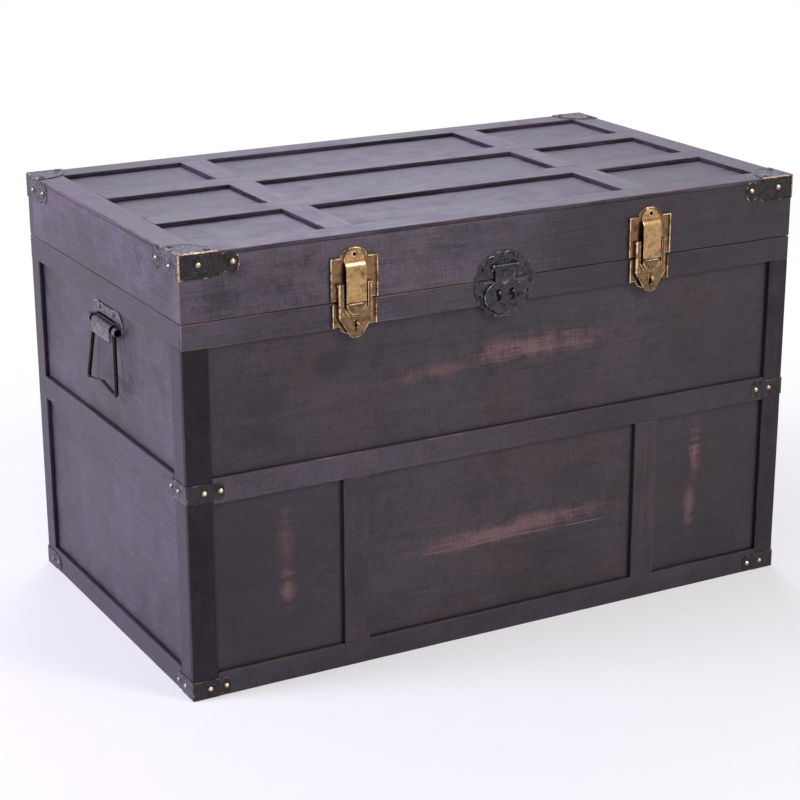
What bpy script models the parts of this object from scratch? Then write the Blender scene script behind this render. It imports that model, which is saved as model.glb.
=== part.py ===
"""A wooden storage trunk with a hinged lid, two trunk latches, a hasp and two bail handles.

Metres, +Z up. The origin is on the floor, under the middle of the trunk. The front faces -Y.
"""
import math

import bmesh
import bpy
from mathutils import Vector

# The whole trunk, measured over its battens. The seam is where the lid meets the base.
LENGTH = 0.800
DEPTH = 0.464
SEAM_HEIGHT = 0.433
LID_HEIGHT = 0.075
SEAM_GAP = 0.0010

# Colour, roughness and metallic value
WOOD = ((0.075, 0.066, 0.072), 0.55, 0.0)
BRASS = ((0.42, 0.30, 0.13), 0.38, 1.0)
IRON = ((0.045, 0.045, 0.048), 0.45, 0.9)

# Faces that meet at an angle between these are shaded as one round face
FLAT_ANGLE = math.radians(1)
ROUND_ANGLE = math.radians(42)

# Clearances that every piece shares
FIT = 0.0003
OVERRUN = 0.0030
SINK = 0.0002

# Boards, panels and battens
BATTEN = 0.0048
PANEL = 0.009
REAR_PANEL = 0.017
LID_BOARD = 0.015
LID_PANEL = 0.009
WOOD_BEVEL = 0.0008
LEFT_STILE_WIDTH = 0.0300
RIGHT_STILE_WIDTH = 0.0267
END_STILE_WIDTH = 0.0277
REAR_STILE_WIDTH = 0.0250
TOP_RAIL = 0.0285
MID_RAIL = 0.0288
MID_RAIL_DROP = 0.1906
BOTTOM_RAIL = 0.0280
MUNTIN_WIDTH = 0.0315
LEFT_MUNTIN_INSET = 0.2047
RIGHT_MUNTIN_INSET = 0.2017
TOP_FRAME_WIDTH = 0.033
LONG_BATTEN_WIDTH = 0.035
CROSS_BATTEN_WIDTH = 0.034
CROSS_BATTEN_INSET = 0.205
END_BLOCK = 0.0508
JOINT_LINE_WIDTH = 0.0005
JOINT_LINE_DEPTH = 0.0015

# Brass dome nails
NAIL_RADIUS = 0.0033
NAIL_RISE = 0.0020
NAIL_SIDES = 10

# Corner caps on the lid
CAP_SHEET = 0.0008
CAP_LENGTH = 0.0687
CAP_DROP = 0.0280
CAP_TOP = 0.0440
CAP_ROUNDNESS = 2.3
CAP_NOTCH = 0.0015
CAP_LOBE_SHARE = 0.128
CAP_RISE_SHARE = 0.44
CAP_NAIL_RADIUS = 0.0038
CAP_NAIL_RISE = 0.0026
CAP_FRONT_NAIL_SHARES = ((0.313, 0.545), (0.885, 0.530))
CAP_END_NAIL_SHARES = ((0.330, 0.410), (0.830, 0.480))
CAP_TOP_NAIL_SHARES = (0.14, 0.80)

# Corner brackets over the middle and bottom rails
BRACKET_SHEET = 0.0008
BRACKET_LENGTH = 0.0452
MID_BRACKET_HEIGHT = 0.0210
BOTTOM_BRACKET_HEIGHT = 0.0218
BOTTOM_BRACKET_LIFT = 0.0005
BRACKET_WAIST_SHARE = 0.66
BRACKET_LOBE_SHARE = 0.150
BRACKET_RISE_SHARE = 0.47
BRACKET_NAIL_SHARES = (0.437, 0.865)

# Trunk latches. Heights are from the lid's seam, and "out" is how far a face stands off the front.
LEFT_LATCH_INSET = 0.2033
RIGHT_LATCH_INSET = 0.2080
LATCH_SHEET = 0.0010
LATCH_PLATE_HALF = 0.0290
LATCH_PLATE_SHOULDER = 0.0495
LATCH_PLATE_PEAK = 0.0598
LATCH_ARCH_HALF = 0.0165
LATCH_RIM = 0.0012
LATCH_RIM_OUT = 0.0035
LATCH_BODY_HALF = 0.0272
LATCH_BODY_BOTTOM = -0.0280
LATCH_BODY_POINT = -0.0375
LATCH_BODY_POINT_HALF = 0.0180
LATCH_PLATE_SETBACK = 0.0015
LEVER_OUT = 0.0065
LEVER_SHEET = 0.0010
LEVER_HALF = 0.0208
LEVER_FLANK = 0.0060
LEVER_CORNER = 0.0025
LEVER_BACK = 0.0020
LEVER_RISE = 0.0020
LEVER_FOOT = -0.0173
LEVER_TIP = -0.0404
LEVER_TIP_HALF = 0.0085
LEVER_TIP_RISE = 0.0036
LEVER_ARCH = -0.0168
STRAP_HALF = 0.01225
STRAP_SHEET = 0.0015
STRAP_CREASE = 0.0455
STRAP_RAMP = 0.0070
STRAP_BEND = 0.0018
STRAP_END = -0.0005
RIVET_HOLE = 0.0021
RIVET_RISE = 0.0068
CATCH_GAP = 0.0011
CATCH_DROP = 0.0134
CATCH_DEPTH = 0.0038
BRIDGE_HALF = 0.0158
BRIDGE_LAP = 0.0012
BRIDGE_HEIGHT = 0.0110
EYE_SLOT_HALF = 0.0022
EYE_SLOT_LOW = -0.0320
EYE_SLOT_HIGH = -0.0200
EYE_HALF = 0.0008
EYE_CLEARANCE = 0.0009
EYE_PROUD = 0.0060
EYE_HOLE = 0.0022
LATCH_PIN_HEIGHT = 0.0188
LATCH_PIN_RADIUS = 0.0008
LATCH_PIN_HEAD = 0.0014
PIN_PLAY = 0.0001
LUG_WIDTH = 0.0022
LUG_RADIUS = 0.0015
LUG_SIDE_GAP = 0.0012
LUG_FRONT_GAP = 0.0004
LUG_FOOT = -0.0140
CHEEK_ROUND = 0.0016

# The hasp in the middle of the front, with its heights from the lid's seam
HASP_OFFSET = -0.0059
HASP_CENTRE = -0.0060
HASP_RADIUS = 0.0392
HASP_LOBES = 16
HASP_LOBE_DEPTH = 0.0016
HASP_SHEET = 0.0010
HASP_PIN_HEIGHT = 0.0155
HASP_PIN_RADIUS = 0.0010
HASP_PIN_PLAY = 0.0003
HASP_EYE_WIDTH = 0.0028
HASP_EYE_RADIUS = 0.0024
HASP_EYE_GAP = 0.0011
TONGUE_SHEET = 0.0016
TONGUE_NECK_HALF = 0.0128
TONGUE_NECK_END = -0.0015
TONGUE_HALF = 0.0270
TONGUE_BOTTOM = -0.0405
TONGUE_CURL = 0.0010
TONGUE_CURL_GAP = 0.0004
TONGUE_SLOT_PLACE = 0.0089
TONGUE_SLOT_HALF = 0.0030
TONGUE_SLOT_LENGTH = 0.0145
TONGUE_SLOT_HIGH = -0.0110
STAPLE_DROP = 0.0033
STAPLE_SIDE_GAP = 0.0008
STAPLE_PROUD = 0.0032
STAPLE_DOME = 0.0014

# Bail handles on the ends. "Out" is how far a face stands off the end panel.
HANDLE_OFFSET = -0.0085
HANDLE_SHEET = 0.0015
HANDLE_HALF = 0.0455
HANDLE_BELOW_ROLL = 0.0062
HANDLE_ABOVE_ROLL = 0.0223
HANDLE_LOBE_PLACE = 0.0290
HANDLE_LOBE_RADIUS = 0.0165
HANDLE_NAIL_PLACE = 0.0205
HANDLE_NAIL_HEIGHT = 0.0155
HANDLE_NAIL_RADIUS = 0.0026
HANDLE_NAIL_RISE = 0.0012
ROLL_DROP = 0.0549
ROLL_RADIUS = 0.0050
ROLL_WALL = 0.0017
ROLL_HALF = 0.0417
APRON_DROP = 0.0143
APRON_FOOT_HALF = 0.0280
BAIL_WIRE = 0.0024
BAIL_LEG_PLACE = 0.0300
BAIL_LEG_CLEARANCE = 0.0008
BAIL_FOOT_HALF = 0.0440
BAIL_DROP = 0.0745
BAIL_PEAK = 0.0073
BAIL_LEAN = 0.0055
BAIL_TOP_BEND = 0.0032
BAIL_BEND = 0.0045
BAIL_PEAK_BEND = 0.0200

# Butt hinges at the rear
HINGE_INSET = 0.150
HINGE_WIDTH = 0.060
HINGE_SHEET = 0.0015
HINGE_LEAF = 0.0260
HINGE_KNUCKLE = 0.0040
HINGE_KNUCKLE_LENGTH = 0.0240
HINGE_PIN_RADIUS = 0.0016
HINGE_PLAY = 0.0003

HEIGHT = SEAM_HEIGHT + LID_HEIGHT
HALF_LENGTH = LENGTH / 2
HALF_DEPTH = DEPTH / 2
BASE_TOP = SEAM_HEIGHT - SEAM_GAP / 2
LID_BOTTOM = SEAM_HEIGHT + SEAM_GAP / 2
LID_FACE = HEIGHT - BATTEN - FIT
CARCASS_HALF_LENGTH = HALF_LENGTH - BATTEN - FIT
CARCASS_HALF_DEPTH = HALF_DEPTH - BATTEN - FIT
MID_RAIL_CENTRE = SEAM_HEIGHT - MID_RAIL_DROP
MID_RAIL_LOW = MID_RAIL_CENTRE - MID_RAIL / 2
MID_RAIL_HIGH = MID_RAIL_CENTRE + MID_RAIL / 2
TOP_RAIL_LOW = BASE_TOP - TOP_RAIL
CROSS_PLACE = HALF_LENGTH - CROSS_BATTEN_INSET
LATCH_PIN_OUT = LEVER_OUT - LEVER_SHEET - LUG_FRONT_GAP - LUG_RADIUS
LUG_OUTER = LEVER_HALF - LEVER_SHEET - LUG_SIDE_GAP
LUG_INNER = LUG_OUTER - LUG_WIDTH
STRAP_OUT = LEVER_OUT + STRAP_SHEET
HASP_PIN_OUT = FIT + HASP_SHEET + TONGUE_CURL_GAP + TONGUE_CURL + HASP_PIN_PLAY + HASP_PIN_RADIUS
TONGUE_BACK = HASP_PIN_OUT - HASP_PIN_RADIUS
HASP_EYE_INNER = TONGUE_NECK_HALF + HASP_EYE_GAP
ROLL_HEIGHT = SEAM_HEIGHT - ROLL_DROP
ROLL_OUT = FIT + ROLL_RADIUS + SINK
LEG_SLOT_INNER = BAIL_LEG_PLACE - BAIL_WIRE - BAIL_LEG_CLEARANCE
LEG_SLOT_OUTER = BAIL_LEG_PLACE + BAIL_TOP_BEND + BAIL_LEG_CLEARANCE
HINGE_AXIS = (0, HALF_DEPTH + FIT + HINGE_KNUCKLE, SEAM_HEIGHT)


def clear_scene():
    for old in list(bpy.data.objects):
        bpy.data.objects.remove(old, do_unlink=True)


def finish(name, look):
    """A material for one piece, from its colour, roughness and metallic value."""
    colour, roughness, metallic = look
    made = bpy.data.materials.new(f"{name}_finish")
    made.use_nodes = True
    shader = made.node_tree.nodes["Principled BSDF"]
    shader.inputs["Base Color"].default_value = (*colour, 1)
    shader.inputs["Roughness"].default_value = roughness
    shader.inputs["Metallic"].default_value = metallic
    return made


def world_place(carrier):
    """Where an empty is in the world. No empty is turned, so its own place and its parent's add up."""
    place = carrier.location.copy()
    if carrier.parent:
        place += carrier.parent.location
    return place


def axis_empty(name, place, parent=None):
    """An empty on a joint's axis, which carries the pieces that turn about it."""
    empty = bpy.data.objects.new(name, None)
    empty.location = place
    bpy.context.scene.collection.objects.link(empty)
    if parent:
        empty.parent = parent
        empty.location = Vector(place) - parent.location
    return empty


def shade_round_faces(bm):
    """Smooth shading on faces that meet a neighbour at a shallow angle. Real edges stay sharp."""
    for edge in bm.edges:
        bend = edge.calc_face_angle(0)
        edge.smooth = bend < ROUND_ANGLE
        if FLAT_ANGLE < bend < ROUND_ANGLE:
            for face in edge.link_faces:
                face.smooth = True


def add_object(name, bm, look=None, carrier=None, origin=(0, 0, 0)):
    """Turns a mesh in world coordinates into an object with its origin at a given place."""
    bmesh.ops.recalc_face_normals(bm, faces=bm.faces)
    shade_round_faces(bm)
    origin = Vector(origin)
    bmesh.ops.translate(bm, verts=bm.verts, vec=-origin)
    mesh = bpy.data.meshes.new(name)
    bm.to_mesh(mesh)
    bm.free()
    made = bpy.data.objects.new(name, mesh)
    bpy.context.scene.collection.objects.link(made)
    made.location = origin
    if carrier:
        made.parent = carrier
        made.location = origin - world_place(carrier)
    if look:
        mesh.materials.append(finish(name, look))
    return made


def add_tool(name, bm, carrier=None):
    """A hidden solid that cuts another one or is fused to it."""
    made = add_object(name, bm, carrier=carrier)
    made.hide_render = True
    made.display_type = "WIRE"
    return made


def combine(target, tool, operation):
    modifier = target.modifiers.new(tool.name, "BOOLEAN")
    modifier.operation = operation
    modifier.object = tool
    modifier.solver = "EXACT"


def slab(bm, outline, low, high, place):
    """A flat shape of an outline, from one depth to another. place maps (u, v, depth) to the world."""
    rings = [[bm.verts.new(place(u, v, w)) for u, v in outline] for w in (low, high)]
    bm.faces.new(rings[0])
    bm.faces.new(rings[1])
    count = len(outline)
    for i in range(count):
        j = (i + 1) % count
        bm.faces.new((rings[0][i], rings[0][j], rings[1][j], rings[1][i]))


def arc(u, v, radius_u, radius_v, start, end, steps):
    """Points on an ellipse from one angle in degrees to another, both included."""
    angles = [math.radians(start + (end - start) * i / steps) for i in range(steps + 1)]
    return [(u + radius_u * math.cos(a), v + radius_v * math.sin(a)) for a in angles]


def circle(u, v, radius, steps):
    return arc(u, v, radius, radius, 0, 360 * (steps - 1) / steps, steps - 1)


def rectangle(low_u, high_u, low_v, high_v):
    return [(low_u, low_v), (high_u, low_v), (high_u, high_v), (low_u, high_v)]


def dome(bm, u, v, base, radius, rise, place, sides=NAIL_SIDES, rings=3):
    """A low round head that stands on a flat base."""
    rows = []
    for i in range(rings):
        angle = math.pi / 2 * i / rings
        ring = []
        for k in range(sides):
            turn = 2 * math.pi * k / sides
            ring_u = u + radius * math.cos(angle) * math.cos(turn)
            ring_v = v + radius * math.cos(angle) * math.sin(turn)
            ring.append(bm.verts.new(place(ring_u, ring_v, base + rise * math.sin(angle))))
        rows.append(ring)
    top = bm.verts.new(place(u, v, base + rise))
    bm.faces.new(rows[0])
    for lower, upper in zip(rows, rows[1:]):
        for k in range(sides):
            m = (k + 1) % sides
            bm.faces.new((lower[k], lower[m], upper[m], upper[k]))
    for k in range(sides):
        bm.faces.new((rows[-1][k], rows[-1][(k + 1) % sides], top))


def front_place(middle):
    """u runs right from a fitting's middle, v is the height over the seam, w stands off the front."""
    return lambda u, v, w: (middle + u, -HALF_DEPTH - w, SEAM_HEIGHT + v)


def front_side_place(middle):
    """u stands off the front, v is the height over the seam, w runs right."""
    return lambda u, v, w: (middle + w, -HALF_DEPTH - u, SEAM_HEIGHT + v)


def front_plan_place(middle):
    """u runs right, v stands off the front, w is the height over the seam."""
    return lambda u, v, w: (middle + u, -HALF_DEPTH - v, SEAM_HEIGHT + w)


def end_place(side):
    """u runs along the depth, v is the height over the bail's axis, w stands off that end's panel."""
    return lambda u, v, w: (side * (CARCASS_HALF_LENGTH + w), HANDLE_OFFSET + u, ROLL_HEIGHT + v)


def end_side_place(side):
    """u stands off the end panel, v is the height over the bail's axis, w runs along the depth."""
    return lambda u, v, w: (side * (CARCASS_HALF_LENGTH + u), HANDLE_OFFSET + w, ROLL_HEIGHT + v)


def rear_place(middle):
    """u runs along the length, v is the height over the seam, w stands off the rear."""
    return lambda u, v, w: (middle + u, HALF_DEPTH + w, SEAM_HEIGHT + v)


def rear_side_place(middle):
    """u stands off the rear, v is the height over the seam, w runs along the length."""
    return lambda u, v, w: (middle + w, HALF_DEPTH + u, SEAM_HEIGHT + v)


def along_x(u, v, w):
    return (u, w, v)


def along_y(u, v, w):
    return (w, u, v)


def board(name, x, y, z, look, carrier=None):
    """A plain board with its edges eased. x, y and z each give its two ends."""
    bm = bmesh.new()
    slab(bm, rectangle(x[0], x[1], z[0], z[1]), y[0], y[1], along_x)
    bmesh.ops.bevel(bm, geom=bm.edges, offset=WOOD_BEVEL, segments=1, affect="EDGES")
    middle = [sum(ends) / 2 for ends in (x, y, z)]
    return add_object(name, bm, look, carrier, middle)


def notched_batten(name, outline, low, high, place, look, carrier):
    bm = bmesh.new()
    slab(bm, outline, low, high, place)
    return add_object(name, bm, look, carrier)


def make_base_panels():
    low_y, high_y = -CARCASS_HALF_DEPTH, HALF_DEPTH
    across = (-CARCASS_HALF_LENGTH, CARCASS_HALF_LENGTH)
    board("front_panel", across, (low_y, low_y + PANEL), (0, BASE_TOP), WOOD)
    board("rear_panel", across, (high_y - REAR_PANEL, high_y), (0, BASE_TOP), WOOD)
    between = (low_y + PANEL + FIT, high_y - REAR_PANEL - FIT)
    inner_length = CARCASS_HALF_LENGTH - PANEL - FIT
    for side, word in ((-1, "left"), (1, "right")):
        x = sorted((side * CARCASS_HALF_LENGTH, side * (CARCASS_HALF_LENGTH - PANEL)))
        board(f"{word}_end_panel", x, between, (0, BASE_TOP), WOOD)
    board("bottom_panel", (-inner_length, inner_length), between, (0, PANEL), WOOD)


def make_front_frame():
    y = (-HALF_DEPTH, -HALF_DEPTH + BATTEN)
    left, right = LEFT_STILE_WIDTH - HALF_LENGTH, HALF_LENGTH - RIGHT_STILE_WIDTH
    between = (left + FIT, right - FIT)
    board("front_top_rail", (-HALF_LENGTH, HALF_LENGTH), y, (TOP_RAIL_LOW, BASE_TOP), WOOD)
    board("front_middle_rail", between, y, (MID_RAIL_LOW, MID_RAIL_HIGH), WOOD)
    board("front_bottom_rail", between, y, (0, BOTTOM_RAIL), WOOD)
    board("front_left_stile", (-HALF_LENGTH, left), y, (0, TOP_RAIL_LOW - FIT), WOOD)
    board("front_right_stile", (right, HALF_LENGTH), y, (0, TOP_RAIL_LOW - FIT), WOOD)
    for word, side, inset in (("left", -1, LEFT_MUNTIN_INSET), ("right", 1, RIGHT_MUNTIN_INSET)):
        middle = side * (HALF_LENGTH - inset)
        muntin = (middle - MUNTIN_WIDTH / 2, middle + MUNTIN_WIDTH / 2)
        board(f"front_{word}_muntin", muntin, y, (BOTTOM_RAIL + FIT, MID_RAIL_LOW - FIT), WOOD)


def make_end_frame(word, side):
    """The battens of one end. The middle rail is butted up from a long and a short length."""
    x = sorted((side * HALF_LENGTH, side * (HALF_LENGTH - BATTEN)))
    front_edge = -HALF_DEPTH + BATTEN + FIT
    front_stile = (front_edge, front_edge + END_STILE_WIDTH)
    rear_stile = (HALF_DEPTH - REAR_STILE_WIDTH, HALF_DEPTH)
    between = (front_stile[1] + FIT, rear_stile[0] - FIT)
    board(f"{word}_end_top_rail", x, (front_edge, HALF_DEPTH), (TOP_RAIL_LOW, BASE_TOP), WOOD)
    board(f"{word}_end_bottom_rail", x, between, (0, BOTTOM_RAIL), WOOD)
    board(f"{word}_end_front_stile", x, front_stile, (0, TOP_RAIL_LOW - FIT), WOOD)
    board(f"{word}_end_rear_stile", x, rear_stile, (0, TOP_RAIL_LOW - FIT), WOOD)
    rail = board(f"{word}_end_middle_rail", x, between, (MID_RAIL_LOW, MID_RAIL_HIGH), WOOD)
    line = between[1] - END_BLOCK
    bm = bmesh.new()
    depth = sorted((side * (HALF_LENGTH - JOINT_LINE_DEPTH), side * (HALF_LENGTH + OVERRUN)))
    sides = rectangle(line, line + JOINT_LINE_WIDTH, MID_RAIL_LOW - OVERRUN, MID_RAIL_HIGH + OVERRUN)
    slab(bm, sides, *depth, along_y)
    combine(rail, add_tool(f"{word}_end_middle_rail_joint", bm), "DIFFERENCE")


def make_lid_shell(lid):
    """The lid's four side boards and its top board, glued up as a shallow box that opens downwards."""
    bm = bmesh.new()
    outline = rectangle(-HALF_LENGTH, HALF_LENGTH, LID_BOTTOM, LID_FACE)
    slab(bm, outline, -HALF_DEPTH, HALF_DEPTH, along_x)
    bmesh.ops.bevel(bm, geom=bm.edges, offset=WOOD_BEVEL, segments=1, affect="EDGES")
    shell = add_object("lid_shell", bm, WOOD, lid, (0, 0, (LID_BOTTOM + LID_FACE) / 2))
    bm = bmesh.new()
    inner_length, inner_depth = HALF_LENGTH - LID_BOARD, HALF_DEPTH - LID_BOARD
    hollow = rectangle(-inner_length, inner_length, LID_BOTTOM - OVERRUN, LID_FACE - LID_PANEL)
    slab(bm, hollow, -inner_depth, inner_depth, along_x)
    combine(shell, add_tool("lid_hollow", bm, lid), "DIFFERENCE")


def make_lid_battens(lid):
    z = (HEIGHT - BATTEN, HEIGHT)
    across = (-HALF_LENGTH, HALF_LENGTH)
    board("lid_front_batten", across, (-HALF_DEPTH, -HALF_DEPTH + TOP_FRAME_WIDTH), z, WOOD, lid)
    board("lid_rear_batten", across, (HALF_DEPTH - TOP_FRAME_WIDTH, HALF_DEPTH), z, WOOD, lid)
    inner_depth = HALF_DEPTH - TOP_FRAME_WIDTH - FIT
    inner_length = HALF_LENGTH - TOP_FRAME_WIDTH - FIT
    for side, word in ((-1, "left"), (1, "right")):
        x = sorted((side * HALF_LENGTH, side * (HALF_LENGTH - TOP_FRAME_WIDTH)))
        board(f"lid_{word}_batten", x, (-inner_depth, inner_depth), z, WOOD, lid)

    # The long and the cross battens are halved where they cross, so that all lie flush
    recess = (DEPTH - 2 * TOP_FRAME_WIDTH - 2 * LONG_BATTEN_WIDTH) / 3
    row = (recess + LONG_BATTEN_WIDTH) / 2
    half_lap = BATTEN / 2
    for side, word in ((-1, "front"), (1, "rear")):
        notch = CROSS_BATTEN_WIDTH / 2 + FIT
        top, bottom = HEIGHT, HEIGHT - BATTEN
        outline = [(-inner_length, top), (-inner_length, bottom)]
        for middle in (-CROSS_PLACE, CROSS_PLACE):
            outline += [(middle - notch, bottom), (middle - notch, bottom + half_lap)]
            outline += [(middle + notch, bottom + half_lap), (middle + notch, bottom)]
        outline += [(inner_length, bottom), (inner_length, top)]
        low = side * row - LONG_BATTEN_WIDTH / 2
        high = low + LONG_BATTEN_WIDTH
        notched_batten(f"lid_long_batten_{word}", outline, low, high, along_x, WOOD, lid)
    for side, word in ((-1, "left"), (1, "right")):
        notch = LONG_BATTEN_WIDTH / 2 + FIT
        top, bottom = HEIGHT, HEIGHT - BATTEN
        shelf = HEIGHT - half_lap - FIT
        outline = [(-inner_depth, bottom), (-inner_depth, top)]
        for middle in (-row, row):
            outline += [(middle - notch, top), (middle - notch, shelf)]
            outline += [(middle + notch, shelf), (middle + notch, top)]
        outline += [(inner_depth, top), (inner_depth, bottom)]
        low = side * CROSS_PLACE - CROSS_BATTEN_WIDTH / 2
        high = low + CROSS_BATTEN_WIDTH
        notched_batten(f"lid_cross_batten_{word}", outline, low, high, along_y, WOOD, lid)


def leg_end_tool(reach, height, above, start_high, start_low, lobe_half, lobe_rise, middle):
    """The sheet to cut away round the lobed end of a leg. v runs up from the leg's lower edge."""
    lobe = arc(reach - lobe_half, middle, lobe_half, lobe_rise, 137, -137, 12)
    outline = [(start_high, height + above)] + lobe + [(start_low, -SINK), (start_low, -OVERRUN)]
    return outline + [(reach + OVERRUN, -OVERRUN), (reach + OVERRUN, height + above)]


def corner_places(side_x, side_y, low):
    """Where a corner sheet's front leg, end leg and plan lie, measured from the trunk's corner."""
    def front(u, v, w):
        return (side_x * (HALF_LENGTH - u), side_y * (HALF_DEPTH + w), low + v)

    def end(u, v, w):
        return (side_x * (HALF_LENGTH + w), side_y * (HALF_DEPTH - u), low + v)

    def plan(u, v, w):
        return (side_x * (HALF_LENGTH - u), side_y * (HALF_DEPTH - v), w)

    return front, end, plan


def make_bracket(name, side_x, side_y, low, height):
    """Two lobed legs of sheet metal, folded round a vertical corner of the base."""
    outside = FIT + BRACKET_SHEET
    reach = BRACKET_LENGTH
    front, end, plan = corner_places(side_x, side_y, low)
    bm = bmesh.new()
    slab(bm, rectangle(-outside, reach, -outside, reach), low, low + height, plan)
    bracket = add_object(name, bm, IRON)
    bm = bmesh.new()
    inner = rectangle(-FIT, reach + OVERRUN, -FIT, reach + OVERRUN)
    slab(bm, inner, low - OVERRUN, low + height + OVERRUN, plan)
    combine(bracket, add_tool(f"{name}_inside", bm), "DIFFERENCE")
    start, lobe_half = reach * BRACKET_WAIST_SHARE, reach * BRACKET_LOBE_SHARE
    rise = height * BRACKET_RISE_SHARE
    trim = leg_end_tool(reach, height, OVERRUN, start, start, lobe_half, rise, height / 2)
    bm = bmesh.new()
    slab(bm, trim, -FIT / 2, outside + OVERRUN, front)
    slab(bm, trim, -FIT / 2, outside + OVERRUN, end)
    combine(bracket, add_tool(f"{name}_lobes", bm), "DIFFERENCE")
    bm = bmesh.new()
    for place in (front, end):
        for share in BRACKET_NAIL_SHARES:
            dome(bm, reach * share, height / 2, outside - SINK, NAIL_RADIUS, NAIL_RISE, place)
    combine(bracket, add_tool(f"{name}_nails", bm), "UNION")


def make_cap(name, side_x, side_y, lid):
    """A three-sided sheet cap over a top corner of the lid, with a lobed leg on each side face."""
    outside = FIT + CAP_SHEET
    reach, low = CAP_LENGTH, HEIGHT - CAP_DROP
    front, end, plan = corner_places(side_x, side_y, low)
    bm = bmesh.new()
    slab(bm, rectangle(-outside, reach, -outside, reach), low, HEIGHT + outside, plan)
    cap = add_object(name, bm, IRON, lid)
    bm = bmesh.new()
    inner = rectangle(-FIT, reach + OVERRUN, -FIT, reach + OVERRUN)
    slab(bm, inner, low - OVERRUN, HEIGHT + FIT, plan)
    combine(cap, add_tool(f"{name}_inside", bm, lid), "DIFFERENCE")
    lobe_half, rise = reach * CAP_LOBE_SHARE, CAP_DROP * CAP_RISE_SHARE
    top_start, low_start = CAP_TOP - CAP_NOTCH, CAP_TOP
    trim = leg_end_tool(reach, CAP_DROP, OVERRUN, top_start, low_start, lobe_half, rise, CAP_DROP / 2)
    for word, place in (("front", front), ("end", end)):
        bm = bmesh.new()
        slab(bm, trim, -CAP_NOTCH, outside + OVERRUN, place)
        combine(cap, add_tool(f"{name}_{word}_lobe", bm, lid), "DIFFERENCE")
    steps = 12
    power = 2 / CAP_ROUNDNESS
    curve = [(CAP_TOP, 0)]
    for i in range(1, steps):
        angle = math.pi / 2 * i / steps
        curve.append((CAP_TOP * math.cos(angle) ** power, CAP_TOP * math.sin(angle) ** power))
    far = reach + OVERRUN
    beyond = curve + [(0, CAP_TOP), (0, far), (far, far), (far, 0)]
    bm = bmesh.new()
    slab(bm, beyond, HEIGHT - OVERRUN, HEIGHT + outside + OVERRUN, plan)
    combine(cap, add_tool(f"{name}_top_edge", bm, lid), "DIFFERENCE")
    bm = bmesh.new()
    for place, shares in ((front, CAP_FRONT_NAIL_SHARES), (end, CAP_END_NAIL_SHARES)):
        for across, up in shares:
            dome(bm, reach * across, CAP_DROP * up, outside - SINK, CAP_NAIL_RADIUS, CAP_NAIL_RISE, place)
    near, far = (CAP_TOP * share for share in CAP_TOP_NAIL_SHARES)
    for u, v in ((near, far), (far, near)):
        dome(bm, u, v, HEIGHT + outside - SINK, CAP_NAIL_RADIUS, NAIL_RISE, plan)
    combine(cap, add_tool(f"{name}_nails", bm, lid), "UNION")


def make_latch_plate(name, middle, lid):
    """The lid's half of a latch: an arched plate with turned-up edges, and the strap riveted to it."""
    face = FIT + LATCH_SHEET
    bottom = SEAM_GAP / 2 + LATCH_PLATE_SETBACK
    front, side = front_place(middle), front_side_place(middle)
    arch_rise = LATCH_PLATE_PEAK - LATCH_PLATE_SHOULDER
    arch = arc(0, LATCH_PLATE_SHOULDER, LATCH_ARCH_HALF, arch_rise, 0, 180, 14)
    half = LATCH_PLATE_HALF
    outline = [(-half, bottom), (half, bottom), (half, LATCH_PLATE_SHOULDER)] + arch
    outline += [(-half, LATCH_PLATE_SHOULDER)]
    bm = bmesh.new()
    slab(bm, outline, FIT, face, front)
    plate = add_object(name, bm, BRASS, lid)

    bm = bmesh.new()
    rim = half - LATCH_RIM
    shelf = LATCH_PLATE_SHOULDER - LATCH_RIM
    for turn in (-1, 1):
        corner = [(half, bottom), (half, LATCH_PLATE_SHOULDER), (LATCH_ARCH_HALF, LATCH_PLATE_SHOULDER)]
        corner += [(LATCH_ARCH_HALF, shelf), (rim, shelf), (rim, bottom)]
        slab(bm, [(turn * u, v) for u, v in corner], face - SINK, LATCH_RIM_OUT, front)
    combine(plate, add_tool(f"{name}_rims", bm, lid), "UNION")

    # The head of the strap lies on the plate, and its tongue steps out over the lever
    head_out = face + STRAP_SHEET
    head = [(-STRAP_HALF, STRAP_CREASE - SINK), (STRAP_HALF, STRAP_CREASE - SINK)]
    head += arc(0, STRAP_CREASE, STRAP_HALF, STRAP_HALF, 0, 180, 14)
    bm = bmesh.new()
    slab(bm, head, face - SINK, head_out, front)
    combine(plate, add_tool(f"{name}_strap_head", bm, lid), "UNION")
    knee = STRAP_CREASE - STRAP_RAMP
    inner = STRAP_OUT - STRAP_SHEET
    strap = [(face - SINK, STRAP_CREASE), (head_out, STRAP_CREASE)]
    strap += arc(STRAP_OUT - STRAP_BEND, knee, STRAP_BEND, STRAP_BEND, 55, 0, 4)
    strap += [(STRAP_OUT, STRAP_END), (inner, STRAP_END)]
    strap += [(inner, knee - SINK), (face - SINK, STRAP_CREASE - STRAP_SHEET)]
    bm = bmesh.new()
    slab(bm, strap, -STRAP_HALF, STRAP_HALF, side)
    combine(plate, add_tool(f"{name}_strap", bm, lid), "UNION")
    bm = bmesh.new()
    hole = circle(0, STRAP_CREASE + RIVET_RISE, RIVET_HOLE, 12)
    slab(bm, hole, -OVERRUN, head_out + OVERRUN, front)
    combine(plate, add_tool(f"{name}_rivet_hole", bm, lid), "DIFFERENCE")


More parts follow.
